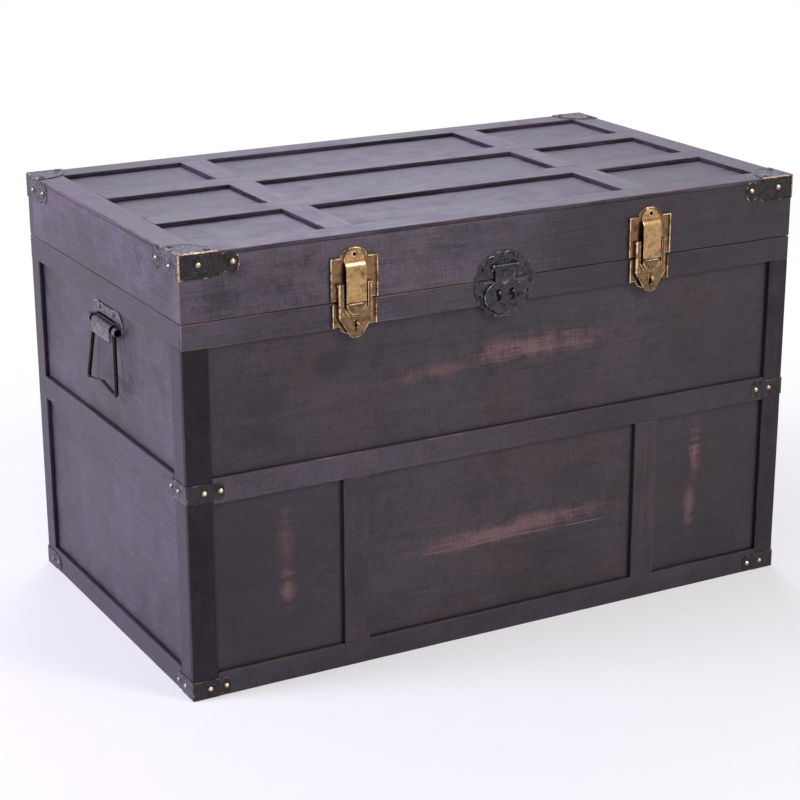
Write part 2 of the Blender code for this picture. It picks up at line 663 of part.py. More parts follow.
def make_latch_body(name, middle):
    """The trunk's half of a latch: a plate with turned-up edges, two pivot lugs and the padlock eye."""
    face = FIT + LATCH_SHEET
    front, side = front_place(middle), front_side_place(middle)
    top = -SEAM_GAP / 2 - LATCH_PLATE_SETBACK
    half = LATCH_BODY_HALF
    point_drop = LATCH_BODY_BOTTOM - LATCH_BODY_POINT
    outline = [(-half, top), (-half, LATCH_BODY_BOTTOM)]
    outline += arc(0, LATCH_BODY_BOTTOM, LATCH_BODY_POINT_HALF, point_drop, 180, 360, 12)
    outline += [(half, LATCH_BODY_BOTTOM), (half, top)]
    bm = bmesh.new()
    slab(bm, outline, FIT, face, front)
    body = add_object(name, bm, BRASS)

    bm = bmesh.new()
    for turn in (-1, 1):
        across = sorted((turn * half, turn * (half - LATCH_RIM)))
        slab(bm, rectangle(*across, LATCH_BODY_BOTTOM, top), face - SINK, LATCH_RIM_OUT, front)
        lug = [(face - SINK, LUG_FOOT), (LATCH_PIN_OUT + LUG_RADIUS, LUG_FOOT)]
        lug += arc(LATCH_PIN_OUT, LATCH_PIN_HEIGHT, LUG_RADIUS, LUG_RADIUS, 0, 180, 8)
        lug += [(LATCH_PIN_OUT - LUG_RADIUS, 0), (face - SINK, top - SINK)]
        across = sorted((turn * LUG_INNER, turn * LUG_OUTER))
        slab(bm, lug, *across, side)
    eye_low = EYE_SLOT_LOW + EYE_CLEARANCE
    eye_high = EYE_SLOT_HIGH - EYE_CLEARANCE
    eye_radius = (eye_high - eye_low) / 2
    eye_middle = (eye_low + eye_high) / 2
    eye_out = LEVER_OUT + EYE_PROUD - eye_radius
    eye = [(face - SINK, eye_low)] + arc(eye_out, eye_middle, eye_radius, eye_radius, -90, 90, 10)
    eye += [(face - SINK, eye_high)]
    slab(bm, eye, -EYE_HALF, EYE_HALF, side)
    combine(body, add_tool(f"{name}_rims_and_lugs", bm), "UNION")

    bm = bmesh.new()
    slab(bm, circle(eye_out, eye_middle, EYE_HOLE, 12), -EYE_HALF - OVERRUN, EYE_HALF + OVERRUN, side)
    combine(body, add_tool(f"{name}_eye_hole", bm), "DIFFERENCE")

    # The pin is riveted through both lugs, with a head outside each cheek of the lever
    reach = LEVER_HALF + FIT
    bm = bmesh.new()
    pin = circle(LATCH_PIN_OUT, LATCH_PIN_HEIGHT, LATCH_PIN_RADIUS, 10)
    slab(bm, pin, -reach - SINK, reach + SINK, side)
    combine(body, add_tool(f"{name}_pin", bm), "UNION")
    bm = bmesh.new()
    for turn in (-1, 1):
        across = sorted((turn * reach, turn * (reach + LATCH_PIN_RADIUS)))
        slab(bm, circle(LATCH_PIN_OUT, LATCH_PIN_HEIGHT, LATCH_PIN_HEAD, 10), *across, side)
    combine(body, add_tool(f"{name}_pin_heads", bm), "UNION")


def make_latch_lever(name, middle, pivot):
    """The shield that swings up on its pin, with folded flanks, an arch, a catch and an eye slot."""
    front, side, plan = front_place(middle), front_side_place(middle), front_plan_place(middle)
    back = LEVER_OUT - LEVER_SHEET
    top = LATCH_PIN_HEIGHT + LEVER_RISE
    inner = LEVER_HALF - LEVER_FLANK
    waist = LEVER_HALF - LEVER_CORNER
    arch_middle = LEVER_ARCH + inner
    tip = arc(0, LEVER_TIP + LEVER_TIP_RISE, LEVER_TIP_HALF, LEVER_TIP_RISE, 180, 360, 10)
    heel = LEVER_FOOT + LEVER_CORNER
    outline = [(-waist, top), (-waist, heel), (-LEVER_HALF, LEVER_FOOT)] + tip
    outline += [(LEVER_HALF, LEVER_FOOT), (waist, heel), (waist, top), (inner, top)]
    outline += arc(0, arch_middle, inner, inner, 0, -180, 16) + [(-inner, top)]
    bm = bmesh.new()
    slab(bm, outline, back, LEVER_OUT, front)
    origin = side(LATCH_PIN_OUT, LATCH_PIN_HEIGHT, 0)
    lever = add_object(name, bm, BRASS, pivot, origin)

    # Each flank folds back towards the plate round a soft corner
    bm = bmesh.new()
    bend = LEVER_CORNER - LEVER_SHEET
    bend_out = LEVER_OUT - LEVER_CORNER
    for turn in (-1, 1):
        flank = [(LEVER_HALF, LEVER_BACK)]
        flank += arc(waist, bend_out, LEVER_CORNER, LEVER_CORNER, 0, 90, 4)
        flank += [(inner + SINK, LEVER_OUT), (inner + SINK, back)]
        flank += arc(waist, bend_out, bend, bend, 90, 0, 3)
        flank += [(LEVER_HALF - LEVER_SHEET, LEVER_BACK)]
        slab(bm, [(turn * u, v) for u, v in flank], LEVER_FOOT, top, plan)
    combine(lever, add_tool(f"{name}_flanks", bm, pivot), "UNION")

    bm = bmesh.new()
    catch_top = STRAP_END - CATCH_GAP
    catch = [(-STRAP_HALF, catch_top)]
    catch += arc(0, catch_top - SINK, STRAP_HALF, CATCH_DROP, 180, 360, 12)
    catch += [(STRAP_HALF, catch_top)]
    catch_back = STRAP_OUT - CATCH_DEPTH
    slab(bm, catch, catch_back, STRAP_OUT, front)
    combine(lever, add_tool(f"{name}_catch", bm, pivot), "UNION")
    bm = bmesh.new()
    bridge_low = LEVER_ARCH - BRIDGE_LAP
    bridge = rectangle(-BRIDGE_HALF, BRIDGE_HALF, bridge_low, bridge_low + BRIDGE_HEIGHT)
    slab(bm, bridge, catch_back + SINK, back + SINK, front)
    combine(lever, add_tool(f"{name}_bridge", bm, pivot), "UNION")

    bm = bmesh.new()
    end = EYE_SLOT_HALF
    slot = arc(0, EYE_SLOT_HIGH - end, end, end, 0, 180, 6)
    slot += arc(0, EYE_SLOT_LOW + end, end, end, 180, 360, 6)
    slab(bm, slot, back - OVERRUN, LEVER_OUT + OVERRUN, front)
    combine(lever, add_tool(f"{name}_eye_slot", bm, pivot), "DIFFERENCE")

    # Behind the pin the cheeks are rounded, so that the lever can swing up in front of the lid's plate
    bm = bmesh.new()
    for turn in (-1, 1):
        across = sorted((turn * (waist - LEVER_SHEET), turn * (LEVER_HALF + OVERRUN)))
        shave = arc(LATCH_PIN_OUT, LATCH_PIN_HEIGHT, CHEEK_ROUND, CHEEK_ROUND, 90, 180, 4)
        shave += [(LATCH_PIN_OUT - CHEEK_ROUND - OVERRUN, LATCH_PIN_HEIGHT)]
        shave += [(LATCH_PIN_OUT - CHEEK_ROUND - OVERRUN, top + OVERRUN), (LATCH_PIN_OUT, top + OVERRUN)]
        slab(bm, shave, *across, side)
    combine(lever, add_tool(f"{name}_cheek_rounds", bm, pivot), "DIFFERENCE")
    bm = bmesh.new()
    reach = LEVER_HALF + OVERRUN
    hole = circle(LATCH_PIN_OUT, LATCH_PIN_HEIGHT, LATCH_PIN_RADIUS + PIN_PLAY, 10)
    slab(bm, hole, -reach, reach, side)
    combine(lever, add_tool(f"{name}_pin_hole", bm, pivot), "DIFFERENCE")


def scalloped_half(upper):
    """Half of a round plate with a scalloped rim, above or below the seam."""
    setback = SEAM_GAP / 2 + LATCH_PLATE_SETBACK
    rise = (setback if upper else -setback) - HASP_CENTRE
    steps = HASP_LOBES * 6
    points = []
    for i in range(steps):
        angle = 2 * math.pi * i / steps
        radius = HASP_RADIUS - HASP_LOBE_DEPTH * (1 - abs(math.sin(HASP_LOBES * angle / 2)))
        u, v = radius * math.cos(angle), radius * math.sin(angle)
        points.append((u, v))
    kept = [(u, v) for u, v in points if (v > rise + SINK) == upper and abs(v - rise) > SINK]
    half = math.sqrt((HASP_RADIUS - HASP_LOBE_DEPTH / 2) ** 2 - rise**2)
    if upper:
        outline = [(half, rise)] + kept + [(-half, rise)]
    else:
        turns = [math.atan2(v - rise, u) % (2 * math.pi) for u, v in kept]
        start = turns.index(min(turns))
        kept = kept[start:] + kept[:start]
        outline = [(-half, rise)] + kept + [(half, rise)]
    return [(u, HASP_CENTRE + v) for u, v in outline]


def make_hasp(lid, pivot):
    """A round scalloped plate split at the seam, with a slotted tongue that hangs over two staples."""
    middle = HASP_OFFSET
    front, side = front_place(middle), front_side_place(middle)
    face = FIT + HASP_SHEET
    eye_outer = HASP_EYE_INNER + HASP_EYE_WIDTH
    bm = bmesh.new()
    slab(bm, scalloped_half(True), FIT, face, front)
    upper = add_object("hasp_upper_plate", bm, IRON, lid)
    bm = bmesh.new()
    for turn in (-1, 1):
        eye = [(face - SINK, HASP_PIN_HEIGHT - HASP_EYE_RADIUS)]
        eye += arc(HASP_PIN_OUT, HASP_PIN_HEIGHT, HASP_EYE_RADIUS, HASP_EYE_RADIUS, -90, 90, 10)
        eye += [(face - SINK, HASP_PIN_HEIGHT + HASP_EYE_RADIUS)]
        across = sorted((turn * HASP_EYE_INNER, turn * eye_outer))
        slab(bm, eye, *across, side)
    combine(upper, add_tool("hasp_upper_plate_eyes", bm, lid), "UNION")
    bm = bmesh.new()
    pin = circle(HASP_PIN_OUT, HASP_PIN_HEIGHT, HASP_PIN_RADIUS, 12)
    slab(bm, pin, -HASP_EYE_INNER - SINK, HASP_EYE_INNER + SINK, side)
    combine(upper, add_tool("hasp_upper_plate_pin", bm, lid), "UNION")

    bm = bmesh.new()
    slab(bm, scalloped_half(False), FIT, face, front)
    lower = add_object("hasp_lower_plate", bm, IRON)
    staple_height = TONGUE_SLOT_HIGH - STAPLE_DROP
    staple_radius = TONGUE_SLOT_HALF - STAPLE_SIDE_GAP
    staple_out = TONGUE_BACK + TONGUE_SHEET + STAPLE_PROUD
    bm = bmesh.new()
    for turn in (-1, 1):
        ring = circle(turn * TONGUE_SLOT_PLACE, staple_height, staple_radius, 12)
        slab(bm, ring, face - SINK, staple_out, front)
    combine(lower, add_tool("hasp_lower_plate_staples", bm), "UNION")
    bm = bmesh.new()
    for turn in (-1, 1):
        middle_u = turn * TONGUE_SLOT_PLACE
        dome(bm, middle_u, staple_height, staple_out - SINK, staple_radius, STAPLE_DOME, front, 12)
    combine(lower, add_tool("hasp_lower_plate_staple_ends", bm), "UNION")

    axis_place = side(HASP_PIN_OUT, HASP_PIN_HEIGHT, 0)

    # Half of the tongue's outline below its neck, as shares of its half width and of its drop
    drop = TONGUE_NECK_END - TONGUE_BOTTOM
    shares = [(0.62, 0.07), (0.78, 0.155), (0.945, 0.295), (1.0, 0.435), (0.965, 0.59), (0.835, 0.73)]
    shares += [(0.57, 0.835), (0.42, 0.915), (0.20, 0.985)]
    half = [(TONGUE_HALF * a, TONGUE_NECK_END - drop * b) for a, b in shares]
    neck_top = HASP_PIN_HEIGHT - HASP_PIN_RADIUS - HASP_PIN_PLAY - SINK
    outline = [(TONGUE_NECK_HALF, neck_top), (TONGUE_NECK_HALF, TONGUE_NECK_END)] + half
    outline += [(0, TONGUE_BOTTOM)] + [(-u, v) for u, v in reversed(outline)]
    bm = bmesh.new()
    slab(bm, outline, TONGUE_BACK, TONGUE_BACK + TONGUE_SHEET, front)
    tongue = add_object("hasp_tongue", bm, IRON, pivot, axis_place)
    bore = HASP_PIN_RADIUS + HASP_PIN_PLAY
    curl = arc(HASP_PIN_OUT, HASP_PIN_HEIGHT, bore + TONGUE_CURL, bore + TONGUE_CURL, 75, 320, 16)
    curl += arc(HASP_PIN_OUT, HASP_PIN_HEIGHT, bore, bore, 320, 75, 16)
    bm = bmesh.new()
    slab(bm, curl, -TONGUE_NECK_HALF + SINK, TONGUE_NECK_HALF - SINK, side)
    combine(tongue, add_tool("hasp_tongue_curl", bm, pivot), "UNION")
    bm = bmesh.new()
    end = TONGUE_SLOT_HALF
    slot_low = TONGUE_SLOT_HIGH - TONGUE_SLOT_LENGTH
    for turn in (-1, 1):
        slot = arc(turn * TONGUE_SLOT_PLACE, TONGUE_SLOT_HIGH - end, end, end, 0, 180, 6)
        slot += arc(turn * TONGUE_SLOT_PLACE, slot_low + end, end, end, 180, 360, 6)
        slab(bm, slot, TONGUE_BACK - OVERRUN, TONGUE_BACK + TONGUE_SHEET + OVERRUN, front)
    combine(tongue, add_tool("hasp_tongue_slots", bm, pivot), "DIFFERENCE")


def rounded_path(corners, steps):
    """A path through corner points, each rounded with its own radius. A corner is (u, v, radius)."""
    path = [Vector(corners[0][:2])]
    for before, corner, after in zip(corners, corners[1:], corners[2:]):
        here = Vector(corner[:2])
        back = (Vector(before[:2]) - here).normalized()
        on = (Vector(after[:2]) - here).normalized()
        half_angle = back.angle(on) / 2
        reach = corner[2] / math.tan(half_angle)
        centre = here + (back + on).normalized() * (corner[2] / math.sin(half_angle))
        start, end = here + back * reach, here + on * reach
        for i in range(steps + 1):
            spoke = (start - centre).lerp(end - centre, i / steps).normalized()
            path.append(centre + spoke * corner[2])
    path.append(Vector(corners[-1][:2]))
    return path


def make_handle_plate(name, side):
    """A lobed plate with a rolled tube for the bail, and an apron that hangs between the bail's legs."""
    flat, profile = end_place(side), end_side_place(side)
    face = FIT + HANDLE_SHEET
    lobe_middle = HANDLE_ABOVE_ROLL - HANDLE_LOBE_RADIUS
    outline = [(-HANDLE_HALF, -HANDLE_BELOW_ROLL), (HANDLE_HALF, -HANDLE_BELOW_ROLL)]
    outline += [(HANDLE_HALF, ROLL_RADIUS)]
    outline += arc(HANDLE_LOBE_PLACE, lobe_middle, HANDLE_LOBE_RADIUS, HANDLE_LOBE_RADIUS, 0, 115, 8)
    outline += arc(-HANDLE_LOBE_PLACE, lobe_middle, HANDLE_LOBE_RADIUS, HANDLE_LOBE_RADIUS, 65, 180, 8)
    outline += [(-HANDLE_HALF, ROLL_RADIUS)]
    bm = bmesh.new()
    slab(bm, outline, FIT, face, flat)
    plate = add_object(name, bm, IRON)

    bm = bmesh.new()
    ring = circle(ROLL_OUT, 0, ROLL_RADIUS, 20)
    spans = [(-ROLL_HALF, -LEG_SLOT_OUTER), (-LEG_SLOT_INNER, LEG_SLOT_INNER)]
    spans += [(LEG_SLOT_OUTER, ROLL_HALF)]
    for low, high in spans:
        slab(bm, ring, low, high, profile)
    combine(plate, add_tool(f"{name}_roll", bm), "UNION")
    bm = bmesh.new()
    out = ROLL_OUT + ROLL_RADIUS
    top_half = LEG_SLOT_INNER - SINK
    apron = [(-top_half, 0), (-APRON_FOOT_HALF, -APRON_DROP), (APRON_FOOT_HALF, -APRON_DROP), (top_half, 0)]
    slab(bm, apron, out - ROLL_WALL, out, flat)
    combine(plate, add_tool(f"{name}_apron", bm), "UNION")
    bm = bmesh.new()
    bore = circle(ROLL_OUT, 0, ROLL_RADIUS - ROLL_WALL, 16)
    slab(bm, bore, -ROLL_HALF - OVERRUN, ROLL_HALF + OVERRUN, profile)
    combine(plate, add_tool(f"{name}_bore", bm), "DIFFERENCE")
    bm = bmesh.new()
    for turn in (-1, 1):
        across = turn * HANDLE_NAIL_PLACE
        dome(bm, across, HANDLE_NAIL_HEIGHT, face - SINK, HANDLE_NAIL_RADIUS, HANDLE_NAIL_RISE, flat)
    combine(plate, add_tool(f"{name}_nails", bm), "UNION")


def make_bail(name, side, pivot):
    """A bent wire handle that hangs from the plate's tube by its two turned-out ends."""
    end = ROLL_HALF - BAIL_LEG_CLEARANCE
    corners = [(-end, 0, 0), (-BAIL_LEG_PLACE, 0, BAIL_TOP_BEND)]
    corners += [(-BAIL_FOOT_HALF, -BAIL_DROP, BAIL_BEND), (0, BAIL_PEAK - BAIL_DROP, BAIL_PEAK_BEND)]
    corners += [(BAIL_FOOT_HALF, -BAIL_DROP, BAIL_BEND), (BAIL_LEG_PLACE, 0, BAIL_TOP_BEND), (end, 0, 0)]
    path = rounded_path(corners, 5)
    place = end_place(side)
    centre = Vector(place(0, 0, ROLL_OUT))
    curve = bpy.data.curves.new(name, "CURVE")
    curve.dimensions = "3D"
    curve.bevel_depth = BAIL_WIRE
    curve.bevel_resolution = 2
    curve.use_fill_caps = True
    spline = curve.splines.new("POLY")
    spline.points.add(len(path) - 1)
    for point, (u, v) in zip(spline.points, path):
        lean = BAIL_LEAN * v / -BAIL_DROP
        point.co = (*(Vector(place(u, v, ROLL_OUT + lean)) - centre), 1)
    curve.materials.append(finish(name, IRON))
    bail = bpy.data.objects.new(name, curve)
    bpy.context.scene.collection.objects.link(bail)
    bail.parent = pivot
    bail.location = centre - world_place(pivot)


def make_hinge(word, middle, lid):
    """A butt hinge on the rear: two leaves, three knuckles and a pin that is fixed in the lower leaf."""
    flat, profile = rear_place(middle), rear_side_place(middle)
    half = HINGE_WIDTH / 2
    face = FIT + HINGE_SHEET
    axis_out = FIT + HINGE_KNUCKLE
    clear = HINGE_KNUCKLE + HINGE_PLAY
    knuckle_half = HINGE_KNUCKLE_LENGTH / 2
    ring = circle(axis_out, 0, HINGE_KNUCKLE, 16)

    bm = bmesh.new()
    leaf = rectangle(-half, half, -HINGE_LEAF, -clear)
    slab(bm, leaf, FIT, face, flat)
    lower = add_object(f"{word}_hinge_base_leaf", bm, IRON)
    for number, (low, high) in enumerate(((-half, -knuckle_half), (knuckle_half, half))):
        bm = bmesh.new()
        slab(bm, ring, low, high, profile)
        combine(lower, add_tool(f"{word}_hinge_base_knuckle_{number}", bm), "UNION")
        bm = bmesh.new()
        neck = rectangle(low + SINK, high - SINK, -clear - HINGE_SHEET, 0)
        slab(bm, neck, FIT + SINK, face - SINK, flat)
        combine(lower, add_tool(f"{word}_hinge_base_neck_{number}", bm), "UNION")
    bm = bmesh.new()
    pin = circle(axis_out, 0, HINGE_PIN_RADIUS, 12)
    slab(bm, pin, -knuckle_half - SINK, knuckle_half + SINK, profile)
    combine(lower, add_tool(f"{word}_hinge_pin", bm), "UNION")

    bm = bmesh.new()
    leaf = rectangle(-half, half, clear, HINGE_LEAF)
    slab(bm, leaf, FIT, face, flat)
    upper = add_object(f"{word}_hinge_lid_leaf", bm, IRON, lid)
    middle_half = knuckle_half - HINGE_PLAY
    bm = bmesh.new()
    slab(bm, ring, -middle_half, middle_half, profile)
    combine(upper, add_tool(f"{word}_hinge_lid_knuckle", bm, lid), "UNION")
    bm = bmesh.new()
    neck = rectangle(-middle_half + SINK, middle_half - SINK, 0, clear + HINGE_SHEET)
    slab(bm, neck, FIT + SINK, face - SINK, flat)
    combine(upper, add_tool(f"{word}_hinge_lid_neck", bm, lid), "UNION")
    bm = bmesh.new()
    hole = circle(axis_out, 0, HINGE_PIN_RADIUS + HINGE_PLAY, 12)
    slab(bm, hole, -middle_half - OVERRUN, middle_half + OVERRUN, profile)
    combine(upper, add_tool(f"{word}_hinge_lid_hole", bm, lid), "DIFFERENCE")


def main():
    clear_scene()
    lid = axis_empty("lid_hinge_axis", HINGE_AXIS)
    make_base_panels()
    make_front_frame()
    make_lid_shell(lid)
    make_lid_battens(lid)

    for side_x, word_x, inset in ((-1, "left", LEFT_LATCH_INSET), (1, "right", RIGHT_LATCH_INSET)):
        make_end_frame(word_x, side_x)
        for side_y, word_y in ((-1, "front"), (1, "rear")):
            make_cap(f"lid_cap_{word_y}_{word_x}", side_x, side_y, lid)
            name = f"bottom_bracket_{word_y}_{word_x}"
            make_bracket(name, side_x, side_y, BOTTOM_BRACKET_LIFT, BOTTOM_BRACKET_HEIGHT)
        low = MID_RAIL_CENTRE - MID_BRACKET_HEIGHT / 2
        make_bracket(f"middle_bracket_{word_x}", side_x, -1, low, MID_BRACKET_HEIGHT)

        column = side_x * (HALF_LENGTH - inset)
        pin_place = front_side_place(column)(LATCH_PIN_OUT, LATCH_PIN_HEIGHT, 0)
        pivot = axis_empty(f"{word_x}_latch_axis", pin_place)
        make_latch_plate(f"{word_x}_latch_lid_plate", column, lid)
        make_latch_body(f"{word_x}_latch_body_plate", column)
        make_latch_lever(f"{word_x}_latch_lever", column, pivot)

        make_handle_plate(f"{word_x}_handle_plate", side_x)
        bail_axis = axis_empty(f"{word_x}_bail_axis", end_place(side_x)(0, 0, ROLL_OUT))
        make_bail(f"{word_x}_bail", side_x, bail_axis)
        make_hinge(word_x, side_x * (HALF_LENGTH - HINGE_INSET), lid)

    hasp_place = front_side_place(HASP_OFFSET)(HASP_PIN_OUT, HASP_PIN_HEIGHT, 0)
    make_hasp(lid, axis_empty("hasp_axis", hasp_place, lid))


main()
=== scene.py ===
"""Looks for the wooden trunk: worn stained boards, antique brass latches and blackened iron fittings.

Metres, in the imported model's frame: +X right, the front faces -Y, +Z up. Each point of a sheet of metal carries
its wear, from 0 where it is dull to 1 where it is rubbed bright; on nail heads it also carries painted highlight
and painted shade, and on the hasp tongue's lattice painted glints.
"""
from math import asin, cos, hypot, pi, radians, sin, tan

import bmesh
import bpy
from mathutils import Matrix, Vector, noise


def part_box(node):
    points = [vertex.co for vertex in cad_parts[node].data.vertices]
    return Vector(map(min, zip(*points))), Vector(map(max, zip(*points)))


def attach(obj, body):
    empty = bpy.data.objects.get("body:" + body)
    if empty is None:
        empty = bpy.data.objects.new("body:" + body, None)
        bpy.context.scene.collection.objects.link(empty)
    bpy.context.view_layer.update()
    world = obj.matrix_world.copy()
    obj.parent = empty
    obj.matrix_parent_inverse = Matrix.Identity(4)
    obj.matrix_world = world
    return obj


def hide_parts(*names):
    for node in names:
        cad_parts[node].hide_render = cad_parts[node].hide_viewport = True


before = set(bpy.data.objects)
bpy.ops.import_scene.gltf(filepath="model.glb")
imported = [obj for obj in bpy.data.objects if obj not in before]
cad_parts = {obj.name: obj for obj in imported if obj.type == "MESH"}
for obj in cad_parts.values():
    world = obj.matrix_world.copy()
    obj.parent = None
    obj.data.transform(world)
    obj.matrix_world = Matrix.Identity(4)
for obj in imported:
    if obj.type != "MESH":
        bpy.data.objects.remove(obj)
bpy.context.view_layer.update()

# The trunk
HALF_LENGTH = 0.400
HALF_DEPTH = 0.232
SEAM_HEIGHT = 0.433
HEIGHT = 0.508
BATTEN = 0.0048
FIT = 0.0003
LID_BOTTOM = SEAM_HEIGHT + 0.0005
LID_FACE = HEIGHT - BATTEN - FIT
LID_BOARD = 0.015
LID_PANEL = 0.009
END_BLOCK = 0.0508
PANEL_FACE = HALF_LENGTH - BATTEN - FIT
CENTRE = (0.0, 0.0, 0.25)

# Edges of boards: their radii, the distance between the places where their unevenness is set, how far a radius
# wanders, and how deep dents go and how high the noise has to rise to make one
EDGE_RADIUS = 0.0011
BATTEN_RADIUS = 0.0009
RAIL_RADIUS = 0.0008
SEAM_RADIUS = 0.0004
STATION = 0.011
WANDER = 0.45
DENT_DEPTH = 4.1
DENT_LEVEL = 0.42

# Colours of the boards: stain, what has gathered on it, painted shade, and what wear has laid bare
COOL_STAIN = (0.0730, 0.0605, 0.0760)
WARM_STAIN = (0.0940, 0.0640, 0.0700)
PORE = (0.008, 0.006, 0.007)
# Dark wax on the long sides of battens, and painted shade there
WAX_AND_SHADE = (0.013, 0.010, 0.013)
CORNER_SHADE = (0.011, 0.008, 0.011)
# The spot colour is for dark marks and for painted shade
SPOT_AND_SHADE = (0.014, 0.012, 0.015)
BARE_EDGE = (0.158, 0.080, 0.070)
HALF_BARE = (0.165, 0.082, 0.080)
BARE = (0.225, 0.133, 0.130)
SCRATCH = (0.240, 0.175, 0.175)
DARK = (0.28, 0.28, 0.29)
MEDIUM = (0.62, 0.62, 0.62)
LIGHT = (1.0, 0.99, 0.98)
WOOD_RELIEF = 0.00050

# Painted light: the ends and the top get a bluer cast and lavender-tinted reflections that the front doesn't, for
# the lavender light that falls on them. The top is also more unevenly matt
LAVENDER_LIGHT_TINT = (0.88, 0.82, 1.0)
END_PAINTED_LIGHT = {"cast": 1.06, "tint": LAVENDER_LIGHT_TINT}
TOP_PAINTED_LIGHT_AND_MATT = {**END_PAINTED_LIGHT, "matt": (0.30, 0.64)}

# Marks on the front, and painted shade. A spot is (middle, half sizes, strength) and darkens: the broad spots at
# the lower left and on the right are painted shade, the others are dark marks. A patch also has a lean before its
# strength; a scratch is (start, end, half width). Places are (x, z).
SPOTS_AND_SHADE = (
    ((-0.2225, 0.3632), (0.032, 0.026), 0.60), ((-0.3053, 0.3284), (0.036, 0.022), 0.45),
    ((-0.3145, 0.2923), (0.045, 0.020), 0.50), ((-0.0192, 0.3213), (0.007, 0.006), 0.60),
    ((-0.310, 0.110), (0.125, 0.170), 0.50), ((0.095, 0.172), (0.060, 0.030), 0.30),
    ((0.300, 0.320), (0.140, 0.090), 0.28), ((0.310, 0.130), (0.150, 0.170), 0.40),
)
PATCHES = (
    ((0.035, 0.3445), (0.185, 0.029), 0.020, 0.84), ((-0.095, 0.3340), (0.120, 0.017), 0.045, 0.58),
    ((0.015, 0.1260), (0.205, 0.024), 0.040, 0.80), ((-0.282, 0.175), (0.017, 0.055), 0.0, 0.50),
    ((-0.280, 0.108), (0.016, 0.050), 0.0, 0.70), ((0.276, 0.175), (0.015, 0.060), 0.0, 0.80),
    ((0.271, 0.105), (0.015, 0.048), 0.0, 0.65),
)
SCRATCHES = (((-0.118, 0.1165), (0.157, 0.1127), 0.0009),)
# The broad spots on the top and middle rails are painted shade, darker towards the right; the bottom rail's patch is a
# worn place.
RAIL_MARKS_AND_SHADE = {
    "front_top_rail": {"spots": [((0.300, 0.418), (0.480, 0.300), 0.62)]},
    "front_middle_rail": {"spots": [((0.320, 0.228), (0.480, 0.300), 0.62)]},
    "front_bottom_rail": {"patches": [((0.2695, 0.0300), (0.026, 0.0040), 0.0, 0.85)], "cast": 1.10},
}
# Painted shade over the right part of the lid's front side, which falls darker there.
LID_RIGHT_SHADE = ((0.27, 0.472), (0.38, 0.16), 0.72)

# Nails, caps and brackets
NAIL_RADIUS = 0.0033
NAIL_RISE = 0.0020
LOBE_SWEEP = 137
CAP_SHEET = 0.0008
OUTSIDE = FIT + CAP_SHEET
CAP_LENGTH = 0.0687
CAP_DROP = 0.0280
CAP_TOP = 0.0440
CAP_ROUNDNESS = 2.3
CAP_BORDER = 0.0012
CAP_SINK = 0.0003
CAP_NAIL_RADIUS = 0.0038
CAP_NAIL_RISE = 0.0026
CAP_FRONT_NAILS = ((0.0215, 0.0153), (0.0608, 0.0148))
CAP_END_NAILS = ((0.0227, 0.0115), (0.0570, 0.0134))
CAP_TOP_NAILS = ((0.0062, 0.0352), (0.0352, 0.0062))
BRACKET_LENGTH = 0.0452
BRACKET_NAILS = (0.0198, 0.0391)

# Latches: heights from the seam, and "out" from the trunk's front. What stands on a sheet starts BURIED in it.
LATCH_PLACES = {"left": -0.1967, "right": 0.1920}
LATCH_FACE = 0.0013
LATCH_GAP = 0.0020
PLATE_HALF = 0.0290
PLATE_SHOULDER = 0.0495
PLATE_PEAK = 0.0598
PLATE_ARCH = 0.0165
RIM_OUT = 0.0035
RIM_WIDTH = 0.0016
BEAD_INSET = 0.0011
BURIED = 0.0002
BODY_HALF = 0.0272
BODY_BOTTOM = -0.0280
BODY_POINT = -0.0375
BODY_POINT_HALF = 0.0180
LUG_BOTTOM = -0.0140
LUG_RADIUS = 0.0015
LUG_INNER = 0.0164
LUG_OUTER = 0.0186
LEVER_OUT = 0.0065
LEVER_SHEET = 0.0010
LEVER_HALF = 0.0208
LEVER_FLANK = 0.0060
LEVER_CORNER = 0.0025
LEVER_BACK = 0.0020
LEVER_TOP = 0.0208
LEVER_FOOT = -0.0173
LEVER_TIP = -0.0404
LEVER_TIP_HALF = 0.0085
LEVER_TIP_RISE = 0.0036
LEVER_ARCH = -0.0168
STRAP_HALF = 0.01225
STRAP_SHEET = 0.0015
STRAP_CREASE = 0.0455
STRAP_RAMP = 0.0070
STRAP_END = -0.0005
STRAP_OUT = 0.0080
RIVET_HEIGHT = STRAP_CREASE + 0.0068
RIVET_RADIUS = 0.0034
RIVET_BORE = 0.0021
CATCH_TOP = -0.0016
CATCH_DROP = 0.0134
BRIDGE_HALF = 0.0158
BRIDGE_HEIGHT = 0.0110
EYE_LOW = -0.0320
EYE_HIGH = -0.0200
EYE_GAP = 0.0009
EYE_BAR = 0.00125
EYE_REACH = 0.0060
PIN_OUT = 0.0036
PIN_HEIGHT = 0.0188
PIN_REACH = 0.0210

# Hasp: heights from the seam, "out" from the trunk's front, and waves of the tongue's engraving, in radians a metre
HASP_OFFSET = -0.0059
HASP_CENTRE = -0.0060
HASP_FACE = FIT + 0.0010
HASP_RADIUS = 0.0392
HASP_LOBES = 16
HASP_LOBE_DEPTH = 0.0022
HASP_SETBACK = 0.0020
HASP_BORE = 0.0015
HASP_PIN_HEIGHT = 0.0155
HASP_PIN_OUT = 0.0040
HASP_BALL = 0.0024
STAPLE_BALL = 0.0019
STAPLE_HEIGHT = -0.0143
RIVET_HEAD = (0.0011, 0.0007)
TONGUE_BACK = 0.0030
TONGUE_SHEET = 0.0016
TONGUE_FACE = TONGUE_BACK + TONGUE_SHEET
TONGUE_TOP = 0.0142
TONGUE_HALF = 0.0270
TONGUE_NECK = 0.0128
TONGUE_SHOULDER = -0.0015
TONGUE_BOTTOM = -0.0405
TONGUE_ROLL = 0.0023
ROLL_HALF = 0.0127
SLOT_PLACE = 0.0089
SLOT_RADIUS = 0.0030
SLOT_SPAN = (-0.0140, -0.0225)
LATTICE = 1250
CURLS = 1900

